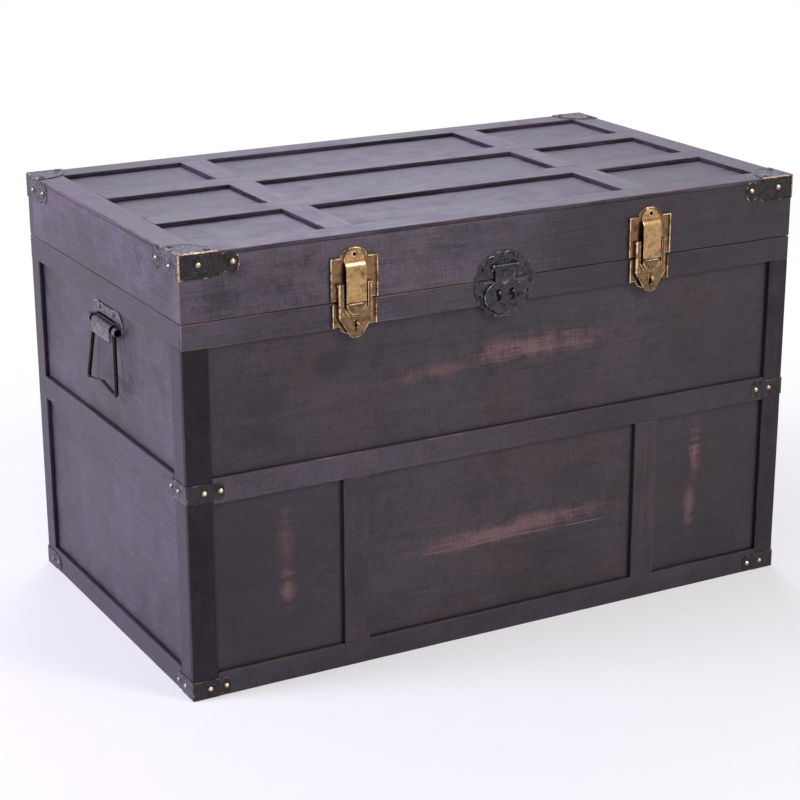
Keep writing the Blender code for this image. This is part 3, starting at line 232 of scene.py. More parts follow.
# Handles: heights from the bail's axis, and "out" from the end panel
HANDLE_OFFSET = -0.0085
HANDLE_SHEET = 0.0015
HANDLE_HALF = 0.0455
HANDLE_BELOW = 0.0062
HANDLE_TOP = 0.0223
HANDLE_LOBE = 0.0290
HANDLE_LOBE_RADIUS = 0.0165
HANDLE_NAIL = (0.0205, 0.0155)
HANDLE_NAIL_RADIUS = 0.0026
HANDLE_NAIL_RISE = 0.0012
BURIED_NAIL = 0.0003
ROLL_HEIGHT = 0.3781
ROLL_OUT = 0.0055
ROLL_RADIUS = 0.0050
ROLL_BORE = 0.0041
ROLL_SPANS = ((-0.0417, -0.0340), (-0.0268, 0.0268), (0.0340, 0.0417))
APRON_HALF = 0.0266
APRON_FOOT_HALF = 0.0280
APRON_DROP = 0.0143
BAIL_WIRE = 0.0024
BAIL_END = 0.0409
BAIL_LEG = 0.0300
BAIL_FOOT = 0.0440
BAIL_DROP = 0.0745
BAIL_PEAK = 0.0073
BAIL_LEAN = 0.0055
BAIL_STEP = 0.004

# Hinges
HINGE_PLACE = 0.250
HINGE_HALF = 0.030
HINGE_SHEET = 0.0015
HINGE_AXIS = 0.0040
HINGE_LEAF = (0.0043, 0.0260)
HINGE_SPANS = {"base": ((-0.030, -0.0121), (0.0121, 0.030)), "lid": ((-0.0117, 0.0117),)}
HINGE_NAIL = (0.0030, 0.0010)
HINGE_NAILS = ((-0.021, 0.0150), (0.0, 0.0195), (0.021, 0.0150))

# The photograph's camera, and the light
CAMERA_PLACE = (-1.21916, -2.19719, 1.04853)
CAMERA_TURN = (71.7618, 0.1552, -28.8378)
SENSOR = 36.0
FOCAL_PIXELS = 2115.0
PICTURE_PIXELS = 800.0
FLOOR_REACH = 14.0
AMBIENT = (0.92, 0.87, 1.0, 1)
AMBIENT_STRENGTH = 0.36
LAMPS = (
    ("key", (0.85, -1.85, 2.15), 0.8, 30, (1.0, 0.95, 0.97)),
    ("left", (-2.2, 0.2, 1.6), 1.0, 66, (0.76, 0.70, 1.0)),
    ("rear", (0.9, 1.8, 2.3), 1.4, 38, (0.80, 0.77, 1.0)),
)

# Angle in degrees over which an edge is shaded sharp
CREASE = 40


# ---- node materials

class Graph:
    """Short calls for building the nodes of a material or a world."""

    def __init__(self, owner):
        owner.use_nodes = True
        self.owner = owner
        self.nodes = owner.node_tree.nodes
        self.links = owner.node_tree.links
        self.shader = self.nodes.get("Principled BSDF")

    def feed(self, socket, value):
        if isinstance(value, bpy.types.NodeSocket):
            self.links.new(value, socket)
        else:
            socket.default_value = value

    def node(self, kind, *values, **settings):
        """A new node, with its first inputs fed in order."""
        node = self.nodes.new(f"ShaderNode{kind}")
        for key, setting in settings.items():
            setattr(node, key, setting)
        for socket, value in zip(node.inputs, values):
            self.feed(socket, value)
        return node

    def math(self, operation, *values, clamp=False):
        return self.node("Math", *values, operation=operation, use_clamp=clamp).outputs[0]

    def minus(self, a, b):
        return self.math("SUBTRACT", a, b)

    def times(self, a, b):
        return self.math("MULTIPLY", a, b)

    def plus(self, value, layer, amount):
        """The value with some of a layer added."""
        return self.math("MULTIPLY_ADD", layer, amount, value)

    def stir(self, value, layer, amount):
        """The value pushed up and down by a layer of noise."""
        return self.plus(value, self.minus(layer, 0.5), amount)

    def vector(self, operation, a, b=(0, 0, 0)):
        return self.node("VectorMath", a, b, operation=operation).outputs[0]

    def split(self, vector):
        return self.node("SeparateXYZ", vector).outputs

    def span(self, value, low, high, to_low=0.0, to_high=1.0):
        """A smooth step from one value to another."""
        return self.node("MapRange", value, low, high, to_low, to_high, interpolation_type="SMOOTHSTEP").outputs[0]

    def mix(self, factor, a, b, blend="MIX"):
        node = self.node("Mix", factor, data_type="RGBA", blend_type=blend)
        for socket, value in zip(node.inputs[6:8], (a, b)):
            self.feed(socket, (*value, 1) if isinstance(value, (tuple, list)) else value)
        return node.outputs[2]

    def ramp(self, value, *stops):
        node = self.node("ValToRGB", value)
        elements = node.color_ramp.elements
        while len(elements) < len(stops):
            elements.new(0.5)
        for element, (position, colour) in zip(elements, stops):
            element.position = position
            element.color = (*colour, 1)
        return node.outputs[0]

    def noise(self, vector, scale=1.0, detail=3.0, roughness=0.5, distortion=0.0):
        node = self.node("TexNoise", vector)
        numbers = {"Scale": scale, "Detail": detail, "Roughness": roughness, "Distortion": distortion}
        for socket, number in numbers.items():
            node.inputs[socket].default_value = number
        return node.outputs[0]

    def done(self, colour, roughness, height, depth):
        """The finished material, with its relief."""
        relief = self.node("Bump")
        for socket, value in (("Strength", 1.0), ("Distance", depth), ("Height", height)):
            self.feed(relief.inputs[socket], value)
        for socket, value in (("Normal", relief.outputs[0]), ("Base Color", colour), ("Roughness", roughness)):
            self.feed(self.shader.inputs[socket], value)
        return self.owner


def material_graph(name):
    """A new material's graph and the object's own coordinates in it."""
    g = Graph(bpy.data.materials.new(name))
    return g, g.node("TexCoord").outputs["Object"]


def stained_wood(name, low, high, axis, tone=1.0, grain=0.6, wear=1.0, wax=None, hue=0.5, gloss=0.34, cast=1.0,
                 contrast=1.15, blotch=1.0, tint=(1.0, 1.0, 1.0), matt=(0.38, 0.56), patches=(), scratches=(),
                 spots=(), corners=()):
    """Dark stained boards with fine grain along one axis, and reddish wood showing where edges are worn.

    tone lightens the stain, cast makes it bluer and hue lets in warmer drifts. grain, blotch and contrast say how
    strong its streaks and clouds are. gloss and tint are for its reflections, and matt is its range of roughness. On
    the ends and the top, cast and tint paint lavender light.
    wax marks the long sides ("inner" or "both") that dark wax has gathered on, which also get painted
    shade. On the front, patches are worn places (middle, half sizes, lean, strength), spots darken (middle,
    half sizes, strength), the small ones as dark marks and the broad ones as painted shade, and scratches are lines
    (start, end, half width). corners are lines of painted shade beside a rail (axis, place, width, top or None).
    """
    g, here = material_graph(name)
    g.shader.inputs["Specular IOR Level"].default_value = gloss
    # On the ends and the top, this tint paints lavender light into the reflections.
    g.shader.inputs["Specular Tint"].default_value = (*tint, 1)
    low, high = Vector(low), Vector(high)
    middle, half = (low + high) / 2, (high - low) / 2
    shift = Vector((noise.random() for _ in range(3))) * 4
    place = g.vector("ADD", here, shift)

    def stretched(along, across):
        return g.vector("MULTIPLY", place, [along if k == axis else across for k in range(3)])

    def toned(colour, cast=1.0):
        red, green, blue = colour
        return red * tone, green * tone, blue * tone * cast

    streaks = g.noise(stretched(6.0, 95.0), 1.0, 4.0, 0.6, 0.6)
    fibres = g.noise(stretched(34.0, 640.0), 1.0, 3.0, 0.65)
    weave = g.noise(stretched(520.0, 60.0), 1.0, 2.0, 0.6)
    drifts = g.noise(place, 7.5, 2.0, 0.5)
    clouds = g.noise(place, 34.0, 4.0, 0.66, 0.5)
    grit = g.noise(place, 330.0, 3.0, 0.6)
    hues = g.noise(g.vector("ADD", place, (7.0, 3.0, 1.0)), 11.0, 3.0, 0.55)
    pores = g.noise(place, 420.0, 1.0, 0.4)

    value = g.times(g.minus(streaks, 0.5), 1.5 * grain)
    layers = ((fibres, 0.62), (weave, 0.34), (drifts, 0.75 * blotch), (clouds, 0.80 * blotch), (grit, 0.50))
    for layer, amount in layers:
        value = g.stir(value, layer, amount)
    value = g.math("MULTIPLY_ADD", value, contrast, 0.5, clamp=True)
    # On the ends and the top, cast paints lavender light on the stain.
    colour = g.mix(g.span(hues, 0.40, 0.72, 0.0, hue), toned(COOL_STAIN, cast), toned(WARM_STAIN, cast))
    colour = g.mix(1.0, colour, g.ramp(value, (0.10, DARK), (0.50, MEDIUM), (0.90, LIGHT)), "MULTIPLY")
    colour = g.mix(g.span(pores, 0.72, 0.78, 0.0, 0.6), colour, PORE)

    # How far a point is from the board's nearest edge: the middle one of its distances to the faces
    away = g.vector("ABSOLUTE", g.vector("SUBTRACT", here, middle))
    depths = g.split(g.vector("SUBTRACT", half, away))
    x, y, z = depths
    edge = g.math("MAXIMUM", g.math("MINIMUM", x, y), g.math("MINIMUM", g.math("MAXIMUM", x, y), z))
    places = g.split(here)

    def outward(k, sign=1):
        """The distance from the board's middle, positive on the side away from the trunk's centre."""
        return g.times(g.minus(places[k], middle[k]), sign if middle[k] > CENTRE[k] else -sign)

    rough_edge = g.stir(edge, clouds, 0.0024)
    reach = g.span(g.noise(place, 10.0, 4.0, 0.66), 0.45, 0.67, 0.0001, 0.0017)
    rubbed = g.minus(1.0, g.span(g.math("DIVIDE", rough_edge, reach), 0.4, 1.0))
    # The long sides darken: dark wax, and painted shade where they face into the recesses.
    if wax:
        thin = min(range(3), key=lambda k: half[k])
        deep = g.span(depths[thin], 0.0009, 0.0026, 0.0, 0.85)
        if wax == "inner":
            deep = g.times(deep, g.span(outward(3 - thin - axis, -1), 0.0, 0.001))
        colour = g.mix(deep, colour, WAX_AND_SHADE)
        rubbed = g.times(rubbed, g.span(outward(thin), -0.0006, 0.0008))
    colour = g.mix(g.times(rubbed, 0.85 * wear), colour, toned(BARE_EDGE))

    # Painted shade: dark lines on a panel beside its battens.
    for k, spot, width, top in corners:
        dark = g.span(g.math("ABSOLUTE", g.minus(places[k], spot)), width, 0.25 * width, 0.0, 0.80)
        if top:
            dark = g.times(dark, g.span(places[2], top + 0.001, top))
        colour = g.mix(dark, colour, CORNER_SHADE)

    def offsets(centre, lean):
        """How far a point is from a mark's centre, along x and up from its leaning middle line."""
        du = g.minus(places[0], centre[0])
        return du, g.minus(g.plus(places[2], du, -lean), centre[1])

    def nearness(centre, sizes, lean=0.0):
        squares = [g.math("POWER", g.math("ABSOLUTE", g.math("DIVIDE", d, size)), 2.0)
                   for d, size in zip(offsets(centre, lean), sizes)]
        return g.math("SUBTRACT", 1.0, g.math("SQRT", g.math("ADD", *squares)), clamp=True)

    # Spots darken the stain: small ones are dark marks, broad ones are painted shade.
    for centre, sizes, strength in spots:
        near = g.stir(nearness(centre, sizes), clouds, 0.9)
        colour = g.mix(g.span(near, 0.0, 0.75, 0.0, strength), colour, SPOT_AND_SHADE)
    worn = scored = 0.0
    for centre, sizes, lean, strength in patches:
        near = broken = nearness(centre, sizes, lean)
        for layer, amount in ((fibres, 1.1), (weave, 0.7), (clouds, 1.5), (streaks, 1.0)):
            broken = g.stir(broken, layer, amount)
        patch = g.times(g.times(g.span(broken, 0.10, 1.15), strength), g.span(near, 0.0, 0.60))
        worn = g.math("MAXIMUM", worn, patch)
    colour = g.mix(worn, colour, g.mix(g.span(worn, 0.2, 0.8), toned(HALF_BARE), toned(BARE)))
    for start, end, thickness in scratches:
        length = end[0] - start[0]
        du, dv = offsets(start, (end[1] - start[1]) / length)
        line = g.span(g.math("ABSOLUTE", g.stir(dv, drifts, 0.009)), thickness, 0.0)
        share = g.math("DIVIDE", du, length)
        ends = g.times(g.span(share, 0.0, 0.08), g.span(share, 1.0, 0.9))
        gaps = g.span(g.noise(place, 30.0, 2.0, 0.5), 0.40, 0.52, 0.40, 0.95)
        line = g.times(g.times(line, ends), gaps)
        colour = g.mix(line, colour, SCRATCH)
        scored = g.math("MAXIMUM", scored, line)

    height = g.plus(g.times(streaks, 0.45 * grain), fibres, 0.45)
    for layer, amount in ((clouds, 0.35), (weave, 0.15), (grit, 0.25), (scored, -0.5)):
        height = g.plus(height, layer, amount)
    buffed = g.plus(g.plus(g.times(clouds, 0.4), drifts, 0.25), streaks, 0.35)
    roughness = g.plus(g.span(buffed, 0.36, 0.64, *matt), worn, 0.12)
    return g.done(colour, roughness, height, WOOD_RELIEF)


def worn_metal(name, base, patina, rim, polish, bumps, metallic=1.0, rubbing=(0.80, 1.25), speck=260.0, swirls=0.0,
               lacquer=0.0, gloss=0.5):
    """Metal with blotchy patina, rubbed bright in places where the mesh is worn, and brightened the same way where its
    wear value carries a painted highlight.

    base, patina and rim are its colours, polish its range of roughness and bumps its relief's depth. rubbing is
    the span of wear over which it brightens, speck its specks' fineness, and swirls the depth of embossed scrolls.
    """
    g, here = material_graph(name)
    g.shader.inputs["Metallic"].default_value = metallic
    g.shader.inputs["Coat Weight"].default_value = lacquer
    g.shader.inputs["Coat Roughness"].default_value = 0.16
    g.shader.inputs["Specular IOR Level"].default_value = gloss
    clouds = g.noise(here, 110.0, 5.0, 0.68, 0.4)
    specks = g.noise(here, speck, 4.0, 0.6)
    value = g.plus(g.times(specks, 0.38), clouds, 0.62)
    colour = g.ramp(value, (0.38, patina), (0.50, base), (0.62, [1.25 * c for c in base]))
    wear = g.node("Attribute", attribute_name="wear").outputs["Fac"]
    rubbed = g.span(g.stir(wear, g.noise(here, 130.0, 3.0, 0.6), 2.4), *rubbing)
    colour = g.mix(rubbed, colour, rim)
    roughness = g.plus(g.span(value, 0.40, 0.62, polish[1], polish[0]), rubbed, -0.08)
    height = g.plus(g.times(g.noise(here, 900.0, 2.0, 0.5), 0.4), specks, 0.6)
    if swirls:
        curls = g.math("SINE", g.times(g.noise(here, 75.0, 1.0, 0.4, 1.6), 46.0))
        height = g.plus(height, curls, swirls)
        colour = g.mix(g.span(curls, -0.2, -0.9, 0.0, 0.35), colour, [0.4 * c for c in patina])
    return g.done(colour, roughness, height, bumps)


# ---- meshes

def even(start, end, steps):
    """Evenly spaced numbers from start to end, both included."""
    return [start + (end - start) * i / steps for i in range(steps + 1)]


def arc(u, v, radius_u, radius_v, start, end, steps):
    """Points on an ellipse from one angle in degrees to another, both included."""
    angles = map(radians, even(start, end, steps))
    return [(u + radius_u * cos(a), v + radius_v * sin(a)) for a in angles]


def circle(u, v, radius, steps):
    return arc(u, v, radius, radius, 0, 360 * (steps - 1) / steps, steps - 1)


def box_outline(u_low, u_high, v_low, v_high):
    return [(u_low, v_low), (u_high, v_low), (u_high, v_high), (u_low, v_high)]


def signed_area(points):
    return sum(a[0] * b[1] - b[0] * a[1] for a, b in zip(points, points[1:] + points[:1])) / 2


def inset(points, distance):
    """The contour moved to its left, which is into the sheet."""
    made = []
    for before, here, after in zip(points[-1:] + points[:-1], points, points[1:] + points[:1]):
        one = (Vector(here) - Vector(before)).normalized()
        two = (Vector(after) - Vector(here)).normalized()
        mitre = Vector((-one.y - two.y, one.x + two.x))
        mitre /= max(0.6, 1 + one.dot(two))
        made.append(tuple(Vector(here) + mitre * distance))
    return made


def eased_end(radius, ease):
    """A round bar's end in profile, for turning: (distance along, radius)."""
    return [(0, radius - ease), (0.3 * ease, radius - 0.3 * ease), (ease, radius)]


def both_ends(profile, length):
    """The profile of one end and its mirror image at the other."""
    return profile + [(length - along, radius) for along, radius in reversed(profile)]


def ball_profile(radius):
    return [(radius * sin(a), max(0.00005, radius * cos(a))) for a in map(radians, even(-89, 89, 12))]


def curve(a, b, c, d, t):
    """A point between b and c on a smooth curve through all four."""
    return 0.5 * (2 * b + (c - a) * t + (2 * a - 5 * b + 4 * c - d) * t**2 + (3 * b - a - 3 * c + d) * t**3)


class Piece:
    """One object in the making: a mesh in the frame's coordinates, with a wear value for each point."""

    def __init__(self):
        self.bm = bmesh.new()
        self.wear = self.bm.verts.layers.float.new("wear")

    def ring(self, points, wear=0.0):
        """Points with one wear value, or with a list of one for each."""
        made = []
        for number, point in enumerate(points):
            vert = self.bm.verts.new(point)
            vert[self.wear] = wear[number] if isinstance(wear, list) else wear
            made.append(vert)
        return made

    def face(self, verts, look=0):
        made = self.bm.faces.new(verts)
        made.smooth = True
        made.material_index = look

    def bridge(self, one, two, look=0):
        for a, b, c, d in zip(one, one[1:] + one[:1], two[1:] + two[:1], two):
            self.face((a, b, c, d), look)

    def loft(self, rings, look=0, caps=True):
        for one, two in zip(rings, rings[1:]):
            self.bridge(one, two, look)
        if caps:
            self.face(rings[0], look)
            self.face(rings[-1], look)

    def fill(self, rings, look):
        """Faces between closed rings in one plane: the first is the outline and the others are holes."""
        edges = []
        for ring in rings:
            for a, b in zip(ring, ring[1:] + ring[:1]):
                edges.append(self.bm.edges.get((a, b)) or self.bm.edges.new((a, b)))
        for made in bmesh.ops.triangle_fill(self.bm, use_beauty=True, edges=edges)["geom"]:
            if isinstance(made, bmesh.types.BMFace):
                made.smooth = True
                made.material_index = look

    def plate(self, outline, low, high, place, bevel=0.0003, holes=(), border=0.0, sink=0.0, look=0, thin=False):
        """Sheet metal with eased, worn edges. With a border, the field inside it is sunk. A thin one has no field."""
        contours = [outline if signed_area(outline) > 0 else outline[::-1]]
        contours += [hole[::-1] if signed_area(hole) > 0 else hole for hole in holes]
        profile = [(0.0, low, 0.5), (0.0, high - bevel, 1.0), (0.3 * bevel, high - 0.3 * bevel, 1.0)]
        profile += [(bevel, high, 0.95)]
        if border:
            profile += [(border, high, 0.55), (border + sink, high - sink, 0.05)]
            profile += [(border + sink + 0.0007, high - sink, 0.0)]
        elif not thin:
            profile += [(bevel + 0.0008, high, 0.25), (bevel + 0.0016, high, 0.0)]
        backs, fronts = [], []
        for contour in contours:
            rings = []
            for distance, depth, wear in profile:
                rings.append(self.ring([place(u, v, depth) for u, v in inset(contour, distance)], wear))
            self.loft(rings, look, caps=False)
            backs.append(rings[0])
            fronts.append(rings[-1])
        self.fill(backs, look)
        self.fill(fronts, look)

    def dome(self, u, v, base, radius, rise, place, look=0, wear=0.0, crown_light_and_shade=0.0):
        """A round nail head. With a crown it gets a painted highlight on top and on its upper side, and painted
            shade on its lower side.
        """
        sides, steps = 20, 6
        rings = []
        for angle in even(0, pi / 2, steps)[:-1]:
            points = circle(u, v, radius * cos(angle), sides)
            # Painted highlight towards the top and upper side, painted shade on the lower side.
            wears = [wear + crown_light_and_shade * (sin(angle) ** 2 + 0.7 * (b - v) / radius) for _, b in points]
            rings.append(self.ring([place(a, b, base + rise * sin(angle)) for a, b in points], wears))
        tip = self.ring([place(u, v, base + rise)], wear + crown_light_and_shade)[0]
        self.loft(rings, look, caps=False)
        self.face(rings[0], look)
        for a, b in zip(rings[-1], rings[-1][1:] + rings[-1][:1]):
            self.face((a, b, tip), look)

    def turned(self, start, end, profile, look=0, sides=24, wear=0.0):
        """A turned shape round the line from start to end. profile gives (distance along, radius)."""
        start, end = Vector(start), Vector(end)
        axis = (end - start).normalized()
        one = axis.orthogonal().normalized()
        two = axis.cross(one)
        rings = []
        for along, radius in profile:
            middle = start + axis * along
            points = [middle + (one * cos(a) + two * sin(a)) * radius for a in even(0, 2 * pi, sides)[:-1]]
            rings.append(self.ring(points, wear))
        self.loft(rings, look)

    def rod(self, start, end, radius, ease=0.0003, look=0, sides=24, wear=0.0):
        """A round bar with eased ends."""
        length = (Vector(end) - Vector(start)).length
        self.turned(start, end, both_ends(eased_end(radius, ease), length), look, sides, wear)

    def tube(self, path, radius, sides=14, closed=False, wear=0.0, flat=1.0):
        """A wire along a path."""
        path = [Vector(p) for p in path]
        count = len(path)
        turns = even(0, 2 * pi, sides)[:-1]
        rings = []
        side = None
        for i, point in enumerate(path):
            before = path[i - 1] if i or closed else point
            after = path[(i + 1) % count] if i < count - 1 or closed else point
            along = (after - before).normalized()
            if side is None:
                side = along.orthogonal().normalized()
            side = (side - along * side.dot(along)).normalized()
            other = along.cross(side)
            rings.append(self.ring([point + side * radius * cos(a) + other * radius * flat * sin(a) for a in turns],
                                   wear))
        self.loft(rings, caps=not closed)
        if closed:
            first, last = rings[0], rings[-1]
            nearest = min(range(sides), key=lambda k: (first[k].co - last[0].co).length)
            self.bridge(last, first[nearest:] + first[:nearest])

    def object(self, name, materials):
        bmesh.ops.recalc_face_normals(self.bm, faces=self.bm.faces)
        mesh = bpy.data.meshes.new(name)
        self.bm.to_mesh(mesh)
        self.bm.free()
        made = bpy.data.objects.new(name, mesh)
        bpy.context.scene.collection.objects.link(made)
        for material in materials:
            mesh.materials.append(material)
        shade(made)
        return made


def shade(made):
    made.data.set_sharp_from_angle(angle=radians(CREASE))
    made.modifiers.new("weighted_normals", "WEIGHTED_NORMAL").keep_sharp = True


def hand_over(made, body, node):
    """Puts a finished object on a body, in place of a node."""
    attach(made, body)
    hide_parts(node)


def place_sheet(piece, node, looks, body, name=None):
    """Hands over a sheet of metal, whose looks are names of metals."""
    made = piece.object(name or f"{node}_sheet", [METALS[look] for look in looks])
    hand_over(made, body, node)


def front_place(middle):
    """u runs right from a fitting's middle, v is the height over the seam, w stands off the front."""
    return lambda u, v, w: (middle + u, -HALF_DEPTH - w, SEAM_HEIGHT + v)


def front_side_place(middle):
    """u stands off the front, v is the height over the seam, w runs right."""
    return lambda u, v, w: (middle + w, -HALF_DEPTH - u, SEAM_HEIGHT + v)


def end_place(side):
    """u runs along the depth, v is the height over the bail's axis, w stands off that end's panel."""
    return lambda u, v, w: (side * (PANEL_FACE + w), HANDLE_OFFSET + u, ROLL_HEIGHT + v)


def end_side_place(side):
    """u stands off that end's panel, v is the height over the bail's axis, w runs along the depth."""
    return lambda u, v, w: (side * (PANEL_FACE + u), HANDLE_OFFSET + w, ROLL_HEIGHT + v)


def rear_place(middle):
    """u runs left from a fitting's middle, v is the height over the seam, w stands off the rear."""
    return lambda u, v, w: (middle + u, HALF_DEPTH + w, SEAM_HEIGHT + v)


# ---- boards

def worn_board(low, high, axis, seed, eased=True, edge=EDGE_RADIUS):
    """A board whose long edges are eased unevenly, as old battens are."""
    low, high = Vector(low), Vector(high)
    across = [k for k in range(3) if k != axis]
    length = high[axis] - low[axis]
    middles = [(low[k] + high[k]) / 2 for k in across]
    halves = [(high[k] - low[k]) / 2 for k in across]
    widest = 0.45 * min(halves)
    ends = []
    for turn in (radians(90 - 30 * step) for step in range(4)):
        ends.append((edge * (1 - sin(turn)), edge * (1 - cos(turn)) if eased else 0.0))
    count = max(3, round(length / STATION))
    inner = length - 2 * edge
    stations = ends + [(edge + inner * i / count, 0.0) for i in range(1, count)]
    stations += [(length - along, cut) for along, cut in reversed(ends)]
    piece = Piece()
    rings = []
    for along, cut in stations:
        points = []
        for corner, (sign_u, sign_v) in enumerate(((1, 1), (-1, 1), (-1, -1), (1, -1))):
            spot = Vector((along * 34.0, corner * 7.3, seed * 3.1))
            wander = noise.noise(spot) + 0.5 * noise.noise(spot * 3.1)
            dent = max(0.0, noise.noise(Vector((along * 21.0, corner * 5.7 + 40, seed * 2.3))) - DENT_LEVEL)
            radius = min(edge * (1 + WANDER * wander + DENT_DEPTH * dent), widest)
            for turn in (radians(90 * corner + 30 * step) for step in range(4)):
                point = [low[axis] + along] * 3
                point[across[0]] = middles[0] + (sign_u * (halves[0] - cut - radius) + radius * cos(turn))
                point[across[1]] = middles[1] + (sign_v * (halves[1] - cut - radius) + radius * sin(turn))
                points.append(point)
        rings.append(piece.ring(points))
    piece.loft(rings)
    return piece


board_count = 0


def add_board(name, body, axis, tone=1.0, low=None, high=None, node=None, eased=True, edge=EDGE_RADIUS, **looks):
    """A worn board in place of a node, or between two corners where a node is several boards."""
    global board_count
    board_count += 1
    if low is None:
        low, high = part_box(name)
    material = stained_wood(f"{name}_stain", low, high, axis, tone, **looks)
    made = worn_board(low, high, axis, board_count, eased, edge).object(f"{name}_board", [material])
    hand_over(made, body, node or name)


def add_lengths(node, body, axis, spans, tones, **looks):
    """Boards for one node, each over its own span along an axis."""
    for number, (span, tone) in enumerate(zip(spans, tones), 1):
        low, high = (corner.copy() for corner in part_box(node))
        low[axis], high[axis] = span
        add_board(f"{node}_{number}", body, axis, tone, low, high, node, eased=False, **looks)


def keep_panel(name, axis, tone=1.0, **looks):
    """A flat panel keeps its solid and gets a stained, worn surface."""
    material = stained_wood(f"{name}_stain", *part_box(name), axis, tone, **looks)
    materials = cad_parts[name].data.materials
    materials.clear()
    materials.append(material)


def make_front_panel(rail_low, rail_high, bottom_top):
    muntins = [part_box(f"front_{word}_muntin")[0].x for word in ("left", "right")]
    stiles = (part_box("front_left_stile")[1].x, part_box("front_right_stile")[0].x)
    # Lines of painted shade beside the rails, muntins and stiles
    corners = [(2, rail_high, 0.0014, None), (2, bottom_top, 0.0016, None)]
    corners += [(0, x, width, rail_low) for x, width in zip(muntins, (0.0060, 0.0055))]
    corners += [(0, x, 0.0050, None) for x in stiles]
    keep_panel("front_panel", 0, 0.90, grain=0.30, hue=0.7, corners=corners, spots=SPOTS_AND_SHADE, patches=PATCHES,
               scratches=SCRATCHES)


def make_boards():
    noise.seed_set(11)
    rail_low, rail_high = (corner.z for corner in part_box("front_middle_rail"))
    bottom_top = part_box("front_bottom_rail")[1].z
    make_front_panel(rail_low, rail_high, bottom_top)
    keep_panel("rear_panel", 0, 0.95, grain=0.4)
    keep_panel("bottom_panel", 0, 0.9)
    for word in ("left", "right"):
        # Lines of painted shade beside the end's stiles and rails
        corners = [(1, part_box(f"{word}_end_front_stile")[1].y, 0.0050, None),
                   (1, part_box(f"{word}_end_rear_stile")[0].y, 0.0070, None),
                   (2, rail_high, 0.0034, None), (2, bottom_top, 0.0030, None)]
        keep_panel(f"{word}_end_panel", 1, 1.17, grain=0.35, hue=0.1, contrast=1.40, blotch=1.5, corners=corners,
                   **END_PAINTED_LIGHT)

    for name, axis, tone, wax in (
        ("top_rail", 0, 1.36, "inner"), ("middle_rail", 0, 1.48, None), ("bottom_rail", 0, 0.78, None),
        ("left_stile", 2, 0.44, "inner"), ("right_stile", 2, 0.70, "inner"),
        ("left_muntin", 2, 0.82, "both"), ("right_muntin", 2, 0.80, "both"),
    ):
        name = f"front_{name}"
        add_board(name, "trunk", axis, tone, grain=0.30, wax=wax, edge=RAIL_RADIUS,
                  gloss=0.14 if "stile" in name else 0.34, **RAIL_MARKS_AND_SHADE.get(name, {}))
    for word in ("left", "right"):
        for part, axis, tone, edge in (
            ("top_rail", 1, 1.06, SEAM_RADIUS), ("bottom_rail", 1, 0.98, EDGE_RADIUS),
            ("front_stile", 2, 0.74, EDGE_RADIUS), ("rear_stile", 2, 0.92, EDGE_RADIUS),
        ):
            add_board(f"{word}_end_{part}", "trunk", axis, tone, grain=0.4, wear=0.7, wax="inner", hue=0.12,
                      contrast=1.4, eased=False, edge=edge, **END_PAINTED_LIGHT)
        # The middle rail is butted up from a long and a short length
        node = f"{word}_end_middle_rail"
        front, rear = (corner.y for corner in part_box(node))
        spans = ((front, rear - END_BLOCK), (rear - END_BLOCK, rear))
        add_lengths(node, "trunk", 1, spans, (1.14, 1.04), grain=0.45, wear=0.9, wax="both", hue=0.15, contrast=1.5,
                    **END_PAINTED_LIGHT)

    for name, axis, tone, wax in (
        ("front_batten", 0, 1.05, "inner"), ("rear_batten", 0, 1.05, "inner"),
        ("left_batten", 1, 1.25, "inner"), ("right_batten", 1, 1.25, "inner"),
        ("long_batten_front", 0, 1.10, "both"), ("long_batten_rear", 0, 1.08, "both"),
    ):
        add_board(f"lid_{name}", "lid", axis, tone, eased=axis == 0, edge=BATTEN_RADIUS, grain=0.8, wax=wax, hue=0.2,
                  contrast=1.6, blotch=1.7, **TOP_PAINTED_LIGHT_AND_MATT)

    # The cross battens show between the long ones
    edges = [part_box("lid_front_batten")[1].y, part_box("lid_rear_batten")[0].y]
    edges += [corner.y for word in ("front", "rear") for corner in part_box(f"lid_long_batten_{word}")]
    edges.sort()
    for word, tone in (("left", 1.40), ("right", 1.36)):
        add_lengths(f"lid_cross_batten_{word}", "lid", 1, zip(edges[::2], edges[1::2]), [tone] * 3, edge=BATTEN_RADIUS,
                    grain=0.6, wax="both", hue=0.2, blotch=1.5, **TOP_PAINTED_LIGHT_AND_MATT)

    # The lid's four sides and its top, all in the one node
    x, y, inner = HALF_LENGTH, HALF_DEPTH, HALF_DEPTH - LID_BOARD
    side = {"grain": 0.4, "hue": 0.1, "wear": 0.4, "contrast": 1.6, "blotch": 1.4, "eased": False, **END_PAINTED_LIGHT}
    for word, axis, tone, (x_low, x_high), (y_low, y_high), looks in (
        # The lid's front side gets painted shade on its right
        ("front", 0, 1.80, (-x, x), (-y, -inner), {"grain": 0.3, "wear": 0.35, "contrast": 1.5, "spots": [LID_RIGHT_SHADE]}),
        ("rear", 0, 1.0, (-x, x), (inner, y), {"grain": 0.4}),
        ("left", 1, 1.36, (-x, LID_BOARD - x), (-inner, inner), side),
        ("right", 1, 1.36, (x - LID_BOARD, x), (-inner, inner), side),
    ):
        add_board(f"lid_{word}_side", "lid", axis, tone, (x_low, y_low, LID_BOTTOM), (x_high, y_high, LID_FACE),
                  "lid_shell", edge=SEAM_RADIUS, **looks)
    x, y = x - LID_BOARD - FIT, inner - FIT
    add_board("lid_top", "lid", 0, 0.90, (-x, -y, LID_FACE - LID_PANEL), (x, y, LID_FACE), "lid_shell", grain=1.2,
              hue=0.15, contrast=1.5, blotch=1.3, **TOP_PAINTED_LIGHT_AND_MATT)


# ---- caps and brackets

